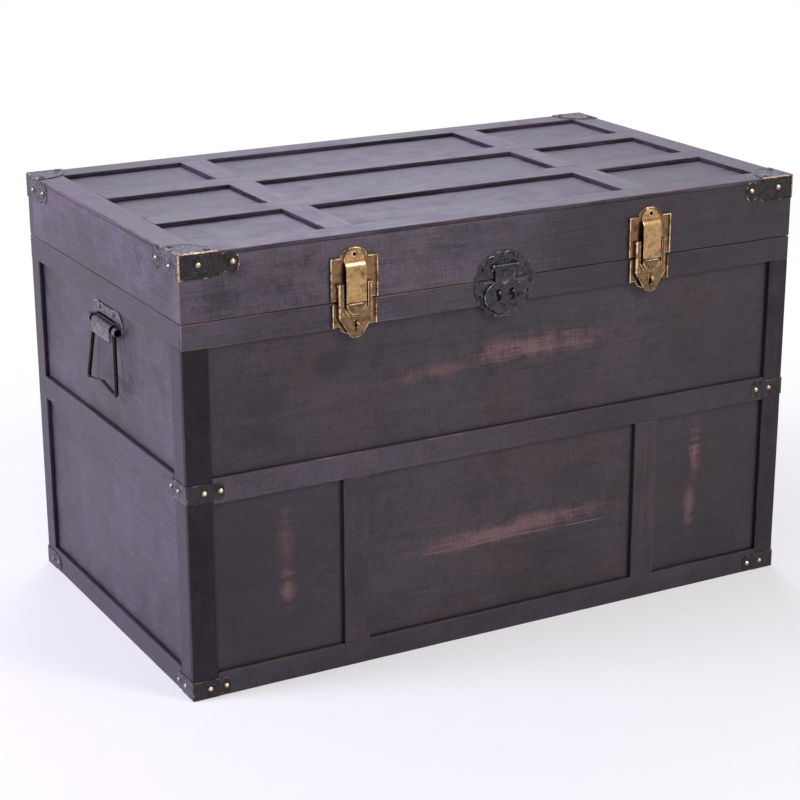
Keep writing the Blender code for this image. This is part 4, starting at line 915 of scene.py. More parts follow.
def corner_places(side_x, side_y, low):
    """Where a corner sheet's front leg, end leg and plan lie, measured from the trunk's corner."""
    def front(u, v, w):
        return (side_x * (HALF_LENGTH - u), side_y * (HALF_DEPTH + w), low + v)

    def end(u, v, w):
        return (side_x * (HALF_LENGTH + w), side_y * (HALF_DEPTH - u), low + v)

    def plan(u, v, w):
        return (side_x * (HALF_LENGTH - u), side_y * (HALF_DEPTH - v), w)

    return front, end, plan


def leg_outline(reach, height, start, lobe_half, lobe_rise):
    """One leg of a corner sheet, which ends in a lobe."""
    lobe = arc(reach - lobe_half, height / 2, lobe_half, lobe_rise, -LOBE_SWEEP, LOBE_SWEEP, 22)
    return [(0, 0), (start, 0)] + lobe + [(start, height), (0, height)]


def fold(piece, start, end, radius, wear=1.0):
    """The rounded bend where two flaps meet."""
    piece.rod(start, end, radius, 0.0004, wear=wear, sides=20)


def make_bracket(node, side_x, side_y):
    low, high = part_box(node)
    bottom, height = low.z, high.z - low.z
    front, end, plan = corner_places(side_x, side_y, bottom)
    outline = leg_outline(BRACKET_LENGTH, height, BRACKET_LENGTH * 0.66, BRACKET_LENGTH * 0.150, height * 0.47)
    piece = Piece()
    # The end leg takes a paler, lavender copy of the iron: painted light, as the end is lit more than the front.
    for place, sheet, nail in ((front, 0, 1), (end, 2, 3)):
        piece.plate(outline, FIT, OUTSIDE, place, 0.00025, look=sheet)
        for u in BRACKET_NAILS:
            piece.dome(u, height / 2, OUTSIDE, NAIL_RADIUS, NAIL_RISE, place, look=nail, crown_light_and_shade=1.0)
    fold(piece, plan(0, 0, bottom), plan(0, 0, bottom + height), OUTSIDE, 0.8)
    place_sheet(piece, node, ("black_iron", "nail_brass", "pale_iron", "dull_nail"), "trunk")


def make_cap(node, side_x, side_y):
    low = HEIGHT - CAP_DROP
    front, end, plan = corner_places(side_x, side_y, low)
    outline = leg_outline(CAP_LENGTH, CAP_DROP, CAP_TOP, CAP_LENGTH * 0.128, CAP_DROP * 0.44)
    border = {"border": CAP_BORDER, "sink": CAP_SINK}
    piece = Piece()
    # The end flap takes a paler, lavender copy of the iron: painted light, as the end is lit more than the front.
    for place, nails, sheet, nail in ((front, CAP_FRONT_NAILS, 0, 1), (end, CAP_END_NAILS, 2, 3)):
        piece.plate(outline, FIT, OUTSIDE, place, look=sheet, **border)
        for u, v in nails:
            piece.dome(u, v, OUTSIDE - CAP_SINK, CAP_NAIL_RADIUS, CAP_NAIL_RISE + CAP_SINK, place, look=nail, crown_light_and_shade=1.0)
    power = 2 / CAP_ROUNDNESS
    round_side = [(cos(a) ** power, sin(a) ** power) for a in even(0, pi / 2, 24)[1:-1]]
    top = [(0, 0), (CAP_TOP, 0)] + [(CAP_TOP * u, CAP_TOP * v) for u, v in round_side] + [(0, CAP_TOP)]
    # The top flap and its nails take the paler copy too: painted light on the top.
    piece.plate(top, HEIGHT + FIT, HEIGHT + OUTSIDE, plan, look=2, **border)
    for u, v in CAP_TOP_NAILS:
        piece.dome(u, v, HEIGHT + OUTSIDE - CAP_SINK, CAP_NAIL_RADIUS, NAIL_RISE, plan, look=2)
    corner = plan(0, 0, HEIGHT)
    fold(piece, corner, plan(0, 0, low), OUTSIDE + 0.0002, 1.35)
    fold(piece, corner, plan(CAP_TOP, 0, HEIGHT), OUTSIDE, 1.15)
    fold(piece, corner, plan(0, CAP_TOP, HEIGHT), OUTSIDE)
    piece.dome(0, 0, HEIGHT, OUTSIDE, OUTSIDE, plan, wear=1.0)
    place_sheet(piece, node, ("cap_iron", "nail_brass", "pale_iron", "dull_nail"), "lid")


# ---- latches

def strap_spine():
    """The strap's middle line, from its round head on the plate to its tongue over the lever: (out, height, half)."""
    head = LATCH_FACE + STRAP_SHEET
    spine = []
    for turn in even(0, pi / 2, 16):
        spine.append((head, STRAP_CREASE + STRAP_HALF * cos(turn), STRAP_HALF * sin(turn) + 0.0001))
    spine.append((head - 0.0004, STRAP_CREASE - 0.0004, STRAP_HALF))
    for turn in even(0, pi / 2, 12)[1:]:
        height = STRAP_CREASE - 0.0006 - (STRAP_RAMP + 0.0022) * (1 - cos(turn)) ** 0.85
        spine.append((head + (STRAP_OUT - head) * sin(turn) ** 1.15, height, STRAP_HALF))
    knee = spine[-1][1]
    for share in even(0, 1, 8)[1:]:
        spine.append((STRAP_OUT + 0.0002 * sin(pi * share), knee + (STRAP_END - knee) * share, STRAP_HALF))
    return spine


def add_strap(piece, front):
    spine = strap_spine()
    # Across the sheet: (side, distance from its edge, share of its thickness, wear)
    section = [(-1, 0, 1.0, 0.4), (-1, 0, 0.3, 0.9), (-1, 0.00012, 0.08, 1.0), (-1, 0.0005, 0.0, 0.9)]
    section += [(-1, 0.0014, 0.0, 0.2), (-1, 0.0024, 0.0, 0.0)]
    section += [(1, *rest) for _, *rest in reversed(section)]
    rings = []
    for before, (out, height, half), after in zip(spine[:1] + spine, spine, spine[1:] + spine[-1:]):
        along = Vector((after[0] - before[0], after[1] - before[1])).normalized()
        normal = Vector((-along.y, along.x))
        if normal.x < 0:
            normal = -normal
        points = []
        for sign, cut, depth, _ in section:
            deep = STRAP_SHEET * depth
            points.append(front(sign * max(0.0, half - cut), height - normal.y * deep, out - normal.x * deep))
        least = 0.6 if before is spine[-2] else 0.0
        rings.append(piece.ring(points, [max(wear, least) for *_, wear in section]))
    # The strap takes a brighter copy of the brass: rubbed, and painted light for the highlights it catches.
    piece.loft(rings, 2)


def add_bead(piece, front, height, half, rise, start, end, steps, radius):
    """A beaded line along a plate's arch."""
    rope = arc(0, height, half - BEAD_INSET, rise - BEAD_INSET, start, end, steps)
    piece.tube([front(u, v, LATCH_FACE) for u, v in rope], radius, wear=0.8)


def make_latch_plate(node, middle):
    front = front_place(middle)
    half, rise = PLATE_HALF, PLATE_PEAK - PLATE_SHOULDER
    outline = [(-half, LATCH_GAP), (half, LATCH_GAP), (half, PLATE_SHOULDER)]
    outline += arc(0, PLATE_SHOULDER, PLATE_ARCH, rise, 0, 180, 36) + [(-half, PLATE_SHOULDER)]
    piece = Piece()
    piece.plate(outline, FIT, LATCH_FACE, front, 0.0004)
    rim, shelf = half - RIM_WIDTH, PLATE_SHOULDER - RIM_WIDTH
    corner = [(half, LATCH_GAP), (half, PLATE_SHOULDER), (PLATE_ARCH, PLATE_SHOULDER), (PLATE_ARCH, shelf)]
    corner += [(rim, shelf), (rim, LATCH_GAP)]
    for turn in (-1, 1):
        piece.plate([(turn * u, v) for u, v in corner], LATCH_FACE - BURIED, RIM_OUT, front, 0.0006, thin=True)
    add_bead(piece, front, PLATE_SHOULDER, PLATE_ARCH, rise, -8, 188, 40, 0.0008)
    add_strap(piece, front)

    # A tubular rivet through the strap's head
    head, outer, inner = LATCH_FACE + STRAP_SHEET, RIVET_RADIUS, RIVET_BORE
    lip = [(-0.0002, outer), (0.0004, outer), (0.0008, outer - 0.0004), (0.0008, inner + 0.0003), (0.0005, inner)]
    lip += [(0.00015, inner)]
    piece.turned(front(0, RIVET_HEIGHT, head), front(0, RIVET_HEIGHT, head + 0.01), lip, wear=0.9)
    # A black disc in the rivet's bore: painted shade inside the hole.
    piece.dome(0, RIVET_HEIGHT, head + 0.0001, inner, 0.0002, front, look=1)
    place_sheet(piece, node, ("antique_brass", "hole_black", "strap_brass"), "lid")


def make_latch_body(node, middle):
    front, side = front_place(middle), front_side_place(middle)
    top, half, drop = -LATCH_GAP, BODY_HALF, BODY_BOTTOM - BODY_POINT
    outline = [(-half, top), (-half, BODY_BOTTOM)] + arc(0, BODY_BOTTOM, BODY_POINT_HALF, drop, 180, 360, 28)
    outline += [(half, BODY_BOTTOM), (half, top)]
    piece = Piece()
    piece.plate(outline, FIT, LATCH_FACE, front, 0.0004)
    back = LATCH_FACE - BURIED
    lug = [(back, LUG_BOTTOM), (PIN_OUT + LUG_RADIUS, LUG_BOTTOM)]
    lug += arc(PIN_OUT, PIN_HEIGHT, LUG_RADIUS, LUG_RADIUS, 0, 180, 10) + [(back, top)]
    for turn in (-1, 1):
        low, high = sorted((turn * half, turn * (half - RIM_WIDTH)))
        piece.plate(box_outline(low, high, BODY_BOTTOM, top), back, RIM_OUT, front, 0.0006, thin=True)
        piece.plate(lug, *sorted((turn * LUG_INNER, turn * LUG_OUTER)), side, 0.0002, thin=True)
        head = turn * (PIN_REACH + 0.0001)
        piece.rod(side(PIN_OUT, PIN_HEIGHT, head), side(PIN_OUT, PIN_HEIGHT, head + turn * 0.0008), 0.0014, wear=0.9)
    piece.rod(side(PIN_OUT, PIN_HEIGHT, -PIN_REACH), side(PIN_OUT, PIN_HEIGHT, PIN_REACH), 0.0008)
    add_bead(piece, front, BODY_BOTTOM, BODY_POINT_HALF, drop, 188, 352, 30, 0.0007)

    # The padlock eye stands out through the lever's slot
    low, high = EYE_LOW + EYE_GAP, EYE_HIGH - EYE_GAP
    half = (high - low) / 2
    bow = arc(LEVER_OUT + EYE_REACH - half, (low + high) / 2, half - EYE_BAR, half - EYE_BAR, -90, 90, 18)
    loop = [(LATCH_FACE, low + EYE_BAR)] + bow + [(LATCH_FACE, high - EYE_BAR)]
    piece.tube([side(u, v, 0) for u, v in loop], EYE_BAR, wear=0.8, flat=1.3)
    place_sheet(piece, node, ("antique_brass",), "trunk")


def add_flank(piece, front, turn):
    """A folded side of the lever: its section is (across, out, wear)."""
    waist, bend_out = LEVER_HALF - LEVER_CORNER, LEVER_OUT - LEVER_CORNER
    bore = LEVER_CORNER - LEVER_SHEET
    section = [(LEVER_HALF, LEVER_BACK, 0.6)]
    bend = arc(waist, bend_out, LEVER_CORNER, LEVER_CORNER, 0, 90, 8)
    section += [(u, w, 1.0 if 2 < i < 7 else 0.5) for i, (u, w) in enumerate(bend)]
    section += [(waist - 0.0012, LEVER_OUT + 0.0001, 0.1), (waist - 0.0014, LEVER_OUT - 0.0004, 0.0)]
    section += [(u, w, 0.0) for u, w in arc(waist, bend_out, bore, bore, 90, 0, 6)]
    section += [(LEVER_HALF - LEVER_SHEET, LEVER_BACK, 0.3)]
    ease = 0.0006
    rings = []
    for height, least in ((LEVER_FOOT, 0.9), (LEVER_FOOT + ease, 0), (LEVER_TOP - ease, 0), (LEVER_TOP, 0.9)):
        rings.append(piece.ring([front(turn * u, height, w) for u, w, _ in section],
                                [max(least, wear) for *_, wear in section]))
    piece.loft(rings)


def make_latch_lever(node, middle, body):
    front = front_place(middle)
    back, inner, waist = LEVER_OUT - LEVER_SHEET, LEVER_HALF - LEVER_FLANK, LEVER_HALF - LEVER_CORNER
    tip = arc(0, LEVER_TIP + LEVER_TIP_RISE, LEVER_TIP_HALF, LEVER_TIP_RISE, 180, 360, 20)
    outline = [(-waist, LEVER_TOP), (-waist, LEVER_FOOT + LEVER_CORNER), (-LEVER_HALF, LEVER_FOOT)] + tip
    outline += [(LEVER_HALF, LEVER_FOOT), (waist, LEVER_FOOT + LEVER_CORNER), (waist, LEVER_TOP)]
    outline += [(inner, LEVER_TOP)] + arc(0, LEVER_ARCH + inner, inner, inner, 0, -180, 36) + [(-inner, LEVER_TOP)]
    end = 0.0022
    slot = arc(0, EYE_HIGH - end, end, end, 0, 180, 12) + arc(0, EYE_LOW + end, end, end, 180, 360, 12)
    piece = Piece()
    piece.plate(outline, back, LEVER_OUT, front, holes=[slot])
    piece.tube([front(u, v, LEVER_OUT) for u, v in inset(slot[::-1], 0.0005)], 0.00045, closed=True, wear=0.7)
    for turn in (-1, 1):
        add_flank(piece, front, turn)

    # The catch under the strap, and the bridge that joins it to the lever
    catch = [(-STRAP_HALF, CATCH_TOP)] + arc(0, CATCH_TOP - 0.0002, STRAP_HALF, CATCH_DROP, 180, 360, 32)
    piece.plate(catch + [(STRAP_HALF, CATCH_TOP)], STRAP_OUT - 0.0038, STRAP_OUT, front, 0.0009)
    low = LEVER_ARCH - 0.0012
    bridge = box_outline(-BRIDGE_HALF, BRIDGE_HALF, low, low + BRIDGE_HEIGHT)
    piece.plate(bridge, STRAP_OUT - 0.0036, back + BURIED, front, 0.0002)
    place_sheet(piece, node, ("antique_brass",), body)


# ---- hasp

def bump(value, middle, half):
    """One at the middle, falling smoothly to nothing at the given distance."""
    share = min(1.0, abs(value - middle) / half)
    return (1 - share * share) ** 2


def hasp_radius(angle):
    return HASP_RADIUS - HASP_LOBE_DEPTH * (1 - abs(sin(HASP_LOBES * angle / 2)))


def hasp_relief(radius, angle):
    """The stamped pattern of the round plate: a rim bead, a ring and a wreath of petals."""
    edge = hasp_radius(angle)
    petal = abs(cos(HASP_LOBES * angle / 4)) ** 0.7
    height = 0.0009 * bump(radius, edge - 0.0019, 0.0013)
    height -= 0.0005 * bump(radius, edge - 0.0045, 0.0012)
    height += 0.0006 * bump(radius, 0.0292, 0.0010)
    height += 0.0009 * petal * bump(radius, 0.0222, 0.0055)
    height -= 0.0005 * bump(petal, 0.0, 0.22) * bump(radius, 0.0222, 0.0065)
    return height + 0.0003 * bump(radius, 0.0135, 0.0022)


def hasp_plate(upper):
    """Half of the round scalloped plate, above or below the seam, with its relief."""
    place = front_place(HASP_OFFSET)
    rise = (HASP_SETBACK if upper else -HASP_SETBACK) - HASP_CENTRE
    corner = asin(rise / (HASP_RADIUS - HASP_LOBE_DEPTH / 2))
    start, end, steps = (corner, pi - corner, 132) if upper else (pi - corner, 2 * pi + corner, 176)
    columns = []
    for angle in even(start, end, steps):
        outer = hasp_radius(angle)
        columns.append((angle, min(rise / sin(angle) if upper else HASP_BORE, outer - 0.0001), outer))
    if not upper:
        for angle in even(corner, pi - corner, 24)[1:-1]:
            columns.append((angle, HASP_BORE, rise / sin(angle)))
    radial = 30
    piece = Piece()
    rings = []
    for angle, inner, outer in columns:
        points, wears = [], []
        for k in range(radial + 1):
            radius = inner + (outer - inner) * k / radial
            height = hasp_relief(radius, angle)
            points.append((radius, HASP_FACE + height))
            wears.append(1.0 if k == radial else min(0.75, max(0.0, height * 1000)))
        points += [(outer, FIT), (inner, FIT)]
        rings.append(piece.ring([place(r * cos(angle), HASP_CENTRE + r * sin(angle), w) for r, w in points],
                                wears + [0.8, 0.3]))
    piece.loft(rings, caps=upper)
    if not upper:
        piece.bridge(rings[-1], rings[0])
    return piece


def add_rivets(piece, front, *rivets):
    """The hasp plate's rivets: (angle in degrees, radius, look)."""
    for angle, radius, look in rivets:
        u, v = radius * cos(radians(angle)), HASP_CENTRE + radius * sin(radians(angle))
        piece.dome(u, v, HASP_FACE, *RIVET_HEAD, front, look=look)


def make_hasp_upper(front, side):
    """The upper plate, and its pin with two rings and a ball at each end."""
    def pin(along):
        return side(HASP_PIN_OUT, HASP_PIN_HEIGHT, along)

    piece = hasp_plate(True)
    ring = circle(HASP_PIN_OUT, HASP_PIN_HEIGHT, HASP_BALL, 20)
    for turn in (-1, 1):
        for along in (0.0143, 0.0167):
            piece.tube([side(u, v, turn * along) for u, v in ring], 0.0006, closed=True, wear=0.3)
        piece.turned(pin(turn * 0.0153), pin(turn * 0.0253), ball_profile(HASP_BALL), look=1)
    piece.rod(pin(-0.0150), pin(0.0150), 0.0010, look=2)
    # Three of the rivets are black domes: painted shade of nail holes.
    add_rivets(piece, front, (62, 0.0345, 1), (118, 0.0345, 3), (34, 0.0335, 3), (146, 0.0335, 3), (90, 0.0340, 1))
    place_sheet(piece, "hasp_upper_plate", ("slate_iron", "nail_brass", "pin_steel", "hole_black"), "lid")


def make_hasp_lower(front):
    """The lower plate, and the two staples with their balls and hooks."""
    piece = hasp_plate(False)
    # These rivets are black domes: painted shade of nail holes.
    add_rivets(piece, front, *((angle, 0.0335, 2) for angle in (200, 340, 235, 305)))
    out = TONGUE_FACE + 0.0026
    for u in (-SLOT_PLACE, SLOT_PLACE):
        root, end, beyond = (front(u, STAPLE_HEIGHT, w) for w in (HASP_FACE - 0.0002, out, out + 0.01))
        piece.rod(root, end, 0.0014)
        hook = [(STAPLE_HEIGHT - 0.0002 - 0.0052 * s, out - 0.0010 - 0.0060 * s * s) for s in even(0, 1, 8)]
        piece.tube([front(u, v, w) for v, w in hook], 0.0011)
        piece.turned(end, beyond, ball_profile(STAPLE_BALL), look=1)
    place_sheet(piece, "hasp_lower_plate", ("slate_iron", "copper_balls", "hole_black"), "trunk")


def tongue_outline():
    """The tongue's half widths and heights, from its roll down to its tip."""
    drop = TONGUE_SHOULDER - TONGUE_BOTTOM
    shares = [(0.474, 0.0), (0.60, 0.065), (0.78, 0.155), (0.945, 0.295), (1.0, 0.435), (0.965, 0.59)]
    shares += [(0.835, 0.73), (0.62, 0.835), (0.42, 0.915), (0.20, 0.975), (0.0, 1.0)]
    points = [(TONGUE_NECK, TONGUE_TOP), (TONGUE_NECK, 0.0060)]
    points = [Vector(p) for p in points + [(TONGUE_HALF * a, TONGUE_SHOULDER - drop * b) for a, b in shares]]
    made = []
    for a, b, c, d in zip(points[:1] + points, points, points[1:], points[2:] + points[-1:]):
        made += [curve(a, b, c, d, share) for share in even(0, 1, 5)[:-1]]
    return made + points[-1:]


def tongue_face(u, height, half):
    """How far out the tongue's face lies, and its wear: an eased edge, a border, a lattice above and curls below.
    The wear along the lattice's lines is a painted glint.
    """
    edge = half - abs(u)
    field = bump(height, -0.0040, 0.0130) * bump(u, 0.0, 0.0180)
    lines = abs(sin((u + height) * LATTICE)) + abs(sin((u - height) * LATTICE))
    curls = sin(hypot(abs(u) - SLOT_PLACE, height + 0.0190) * CURLS) * bump(height, -0.0270, 0.0140)
    out = TONGUE_FACE - 0.0007 * (1 - min(1.0, edge / 0.0012)) ** 2 + 0.0004 * bump(edge, 0.0024, 0.0013)
    out += 0.00022 * curls * min(1.0, edge / 0.0040) - 0.0010 * max(0.0, 0.75 - lines) * field
    # The lattice lines' high wear paints glints.
    return out, 1.05 if edge < 0.0012 else (1.25 if 0.55 < lines < 1.1 else 0.3) * field


def make_tongue(front, side):
    """A fine grid, engraved and slightly domed, with two slots cut through it and a roll round the pin."""
    piece = Piece()
    shares = [-cos(a) for a in even(0, pi, 56)]
    rings = []
    for half, height in tongue_outline():
        half = max(half, 0.0006)
        faces = [tongue_face(half * share, height, half) for share in shares]
        points = [front(half * share, height, out) for share, (out, _) in zip(shares, faces)]
        points += [front(half, height, TONGUE_BACK), front(-half, height, TONGUE_BACK)]
        rings.append(piece.ring(points, [wear for _, wear in faces] + [0.5, 0.5]))
    piece.loft(rings)
    roll = [side(HASP_PIN_OUT, HASP_PIN_HEIGHT, along) for along in (-ROLL_HALF, ROLL_HALF)]
    ease = 0.0002
    piece.turned(*roll, both_ends([(0.0, TONGUE_ROLL - ease), (ease, TONGUE_ROLL)], 2 * ROLL_HALF), wear=0.2)
    iron = [METALS["tongue_iron"]]
    tongue = piece.object("hasp_tongue_sheet", iron)
    tool = Piece()
    for u in (-SLOT_PLACE, SLOT_PLACE):
        slot = arc(u, SLOT_SPAN[0], SLOT_RADIUS, SLOT_RADIUS, 0, 180, 14)
        slot += arc(u, SLOT_SPAN[1], SLOT_RADIUS, SLOT_RADIUS, 180, 360, 14)
        tool.plate(slot, TONGUE_BACK - 0.002, TONGUE_FACE + 0.003, front)
    apply_difference(tongue, tool.object("hasp_tongue_slots", iron))
    hand_over(tongue, "hasp_tongue", "hasp_tongue")


def apply_difference(target, cutter):
    """Cuts one piece out of another and keeps only the result."""
    target.modifiers.clear()
    cut = target.modifiers.new("cut", "BOOLEAN")
    cut.operation = "DIFFERENCE"
    cut.object = cutter
    cut.solver = "EXACT"
    depsgraph = bpy.context.evaluated_depsgraph_get()
    target.data = bpy.data.meshes.new_from_object(target.evaluated_get(depsgraph))
    target.modifiers.clear()
    shade(target)
    bpy.data.objects.remove(cutter)


def make_hasp():
    front, side = front_place(HASP_OFFSET), front_side_place(HASP_OFFSET)
    make_hasp_upper(front, side)
    make_hasp_lower(front)
    make_tongue(front, side)


# ---- handles and hinges

def rounded_path(corners, steps):
    """A path through corner points, each rounded with its own radius. A corner is (u, v, radius)."""
    path = [Vector(corners[0][:2])]
    for before, corner, after in zip(corners, corners[1:], corners[2:]):
        here = Vector(corner[:2])
        back = (Vector(before[:2]) - here).normalized()
        on = (Vector(after[:2]) - here).normalized()
        half_angle = back.angle(on) / 2
        reach = corner[2] / tan(half_angle)
        centre = here + (back + on).normalized() * (corner[2] / sin(half_angle))
        start, end = here + back * reach, here + on * reach
        for share in even(0, 1, steps):
            path.append(centre + (start - centre).lerp(end - centre, share).normalized() * corner[2])
    return path + [Vector(corners[-1][:2])]


def add_apron(piece, profile, face):
    """The sheet that wraps the tube runs down to the plate above, and hangs as an apron below."""
    out, drop = ROLL_OUT + ROLL_RADIUS, APRON_DROP
    wrap = [(face - 0.0002, 0.0098), (face + 0.0002, 0.0082), (ROLL_OUT * 0.45, ROLL_RADIUS + 0.0004)]
    wrap += arc(ROLL_OUT, 0, ROLL_RADIUS + 0.0005, ROLL_RADIUS + 0.0005, 100, 0, 10)
    wrap += [(out + 0.0004, -drop * 0.5), (out, -drop + 0.0006), (out - 0.0004, -drop)]
    inner = [(out - 0.0012, -drop), (out - 0.0010, -drop * 0.5)]
    inner += arc(ROLL_OUT, 0, ROLL_RADIUS - 0.0006, ROLL_RADIUS - 0.0006, 0, 100, 10)
    inner += [(ROLL_OUT * 0.40, ROLL_RADIUS - 0.0008), (FIT, 0.0070)]
    section = [(u, v, APRON_HALF + (APRON_FOOT_HALF - APRON_HALF) * max(0.0, -v / drop)) for u, v in wrap + inner]
    foot = range(len(wrap) - 2, len(wrap) + 1)
    rings = []
    for share in (-1.0, -0.994, -0.94, -0.5, 0.0, 0.5, 0.94, 0.994, 1.0):
        wears = [0.9 if abs(share) > 0.99 or number in foot else 0.0 for number in range(len(section))]
        rings.append(piece.ring([profile(u, v, share * half) for u, v, half in section], wears))
    piece.loft(rings)


def make_handle_plate(word, side):
    flat, profile = end_place(side), end_side_place(side)
    face = FIT + HANDLE_SHEET
    lobe = (HANDLE_TOP - HANDLE_LOBE_RADIUS, HANDLE_LOBE_RADIUS, HANDLE_LOBE_RADIUS)
    outline = [(-HANDLE_HALF, -HANDLE_BELOW), (HANDLE_HALF, -HANDLE_BELOW)]
    outline += arc(HANDLE_LOBE, *lobe, 0, 115, 20) + arc(-HANDLE_LOBE, *lobe, 65, 180, 20)
    piece = Piece()
    piece.plate(outline, FIT, face, flat, 0.0004, border=0.0013, sink=0.0002)
    u, v = HANDLE_NAIL
    for turn in (-1, 1):
        piece.dome(turn * u, v, face - BURIED_NAIL, HANDLE_NAIL_RADIUS, HANDLE_NAIL_RISE + BURIED_NAIL, flat, look=1)
    for low, high in ROLL_SPANS:
        line = [profile(ROLL_OUT, 0, along) for along in (low, high)]
        end = [(0.0030, ROLL_BORE * 0.9), (0.0, ROLL_BORE)] + eased_end(ROLL_RADIUS, 0.0004)
        piece.turned(*line, both_ends(end, high - low), wear=0.15, sides=32)
        # A black disc inside each tube's end: painted shade in the bore.
        piece.turned(*line, both_ends([(0.0006, ROLL_BORE * 0.97)], high - low), look=2)
    # A black rod behind the tube: painted shadow
    piece.rod(*(profile(face + 0.0005, 0.0080, along) for along in (-0.0250, 0.0250)), 0.0012, look=2)
    add_apron(piece, profile, face)
    place_sheet(piece, f"{word}_handle_plate", ("handle_iron", "dark_nail", "hole_black"), "trunk")


def make_bail(word, side):
    flat = end_place(side)
    corners = [(-BAIL_END, 0, 0), (-BAIL_LEG, 0, 0.0032), (-BAIL_FOOT, -BAIL_DROP, 0.0045)]
    corners += [(0, BAIL_PEAK - BAIL_DROP, 0.0200)] + [(-u, v, r) for u, v, r in reversed(corners)]
    path = rounded_path(corners, 10)
    fine = []
    for a, b in zip(path, path[1:]):
        parts = max(1, round((b - a).length / BAIL_STEP))
        fine += [a.lerp(b, share) for share in even(0, 1, parts)[:-1]]
    points = []
    for number, (u, v) in enumerate(fine + path[-1:]):
        wobble = 0.0002 * noise.noise(Vector((number * 0.13, side, 0)))
        points.append(flat(u + wobble, v, ROLL_OUT - BAIL_LEAN * v / BAIL_DROP))
    wire = Piece()
    wire.tube(points, BAIL_WIRE, sides=18, wear=0.35)
    place_sheet(wire, f"{word}_bail", ("bail_iron",), f"{word}_bail", name=f"{word}_bail_wire")


def make_hinge(word, middle):
    flat = rear_place(middle)
    face = FIT + HINGE_SHEET
    for half, body, sign in (("base", "trunk", -1), ("lid", "lid", 1)):
        piece = Piece()
        leaf = box_outline(-HINGE_HALF, HINGE_HALF, *(sign * v for v in HINGE_LEAF))
        piece.plate(leaf, FIT, face, flat)
        for low, high in HINGE_SPANS[half]:
            piece.rod(flat(low, 0, FIT + HINGE_AXIS), flat(high, 0, FIT + HINGE_AXIS), HINGE_AXIS, 0.0004, wear=0.3)
            neck = box_outline(low + 0.0002, high - 0.0002, 0, sign * 0.0060)
            piece.plate(neck, FIT + 0.0002, face - 0.0001, flat, 0.0002)
        for u, v in HINGE_NAILS:
            piece.dome(u, sign * v, face, *HINGE_NAIL, flat, look=1)
        place_sheet(piece, f"{word}_hinge_{half}_leaf", ("black_iron", "nail_brass"), body)


# ---- stage, light and camera

def add_to_scene(name, data):
    made = bpy.data.objects.new(name, data)
    bpy.context.scene.collection.objects.link(made)
    return made


def make_floor():
    """A pale floor that fades to white, away from the trunk's shadow."""
    bm = bmesh.new()
    bmesh.ops.create_grid(bm, x_segments=4, y_segments=4, size=FLOOR_REACH)
    mesh = bpy.data.meshes.new("floor")
    bm.to_mesh(mesh)
    bm.free()
    g, here = material_graph("floor_white")
    g.shader.inputs["Roughness"].default_value = 0.9
    g.shader.inputs["Specular IOR Level"].default_value = 0.1
    grit = g.ramp(g.noise(here, 40.0), (0.3, (0.86, 0.858, 0.828)), (0.7, (0.88, 0.878, 0.848)))
    g.feed(g.shader.inputs["Base Color"], grit)
    path = g.node("LightPath").outputs
    seen = g.math("MAXIMUM", path["Is Camera Ray"], path["Is Glossy Ray"])
    far = g.span(g.node("VectorMath", here, operation="LENGTH").outputs["Value"], 0.50, 1.20, 0.45, 1.0)
    white = g.node("Emission")
    g.feed(white.inputs["Strength"], 1.0)
    blend = g.node("MixShader", g.times(seen, far), g.shader.outputs[0], white.outputs[0])
    g.feed(g.nodes["Material Output"].inputs["Surface"], blend.outputs[0])
    mesh.materials.append(g.owner)
    add_to_scene("floor", mesh)


def make_world():
    """Soft bluish light from all round, and a white backdrop."""
    world = bpy.context.scene.world = bpy.data.worlds.new("studio")
    g = Graph(world)
    ambient = g.nodes["Background"]
    ambient.inputs["Color"].default_value = AMBIENT
    ambient.inputs["Strength"].default_value = AMBIENT_STRENGTH
    path = g.node("LightPath").outputs
    rays = g.math("MAXIMUM", path["Is Camera Ray"], path["Is Glossy Ray"])
    rays = g.math("MAXIMUM", rays, path["Is Transmission Ray"])
    backdrop = g.node("Background", (1, 1, 1, 1))
    blend = g.node("MixShader", rays, ambient.outputs[0], backdrop.outputs[0])
    g.feed(g.nodes["World Output"].inputs["Surface"], blend.outputs[0])


def make_lights():
    for name, spot, size, power, colour in LAMPS:
        lamp = bpy.data.lights.new(name, "AREA")
        lamp.shape, lamp.size, lamp.energy, lamp.color = "DISK", size, power, colour
        made = add_to_scene(name, lamp)
        made.location = spot
        made.rotation_euler = (Vector(CENTRE) - Vector(spot)).to_track_quat("-Z", "Y").to_euler()


def make_camera():
    lens = bpy.data.cameras.new("camera")
    lens.sensor_width = SENSOR
    lens.lens = SENSOR * FOCAL_PIXELS / PICTURE_PIXELS
    camera = add_to_scene("camera", lens)
    camera.location = CAMERA_PLACE
    camera.rotation_euler = [radians(a) for a in CAMERA_TURN]
    bpy.context.scene.camera = camera
    bpy.context.scene.view_settings.view_transform = "Standard"


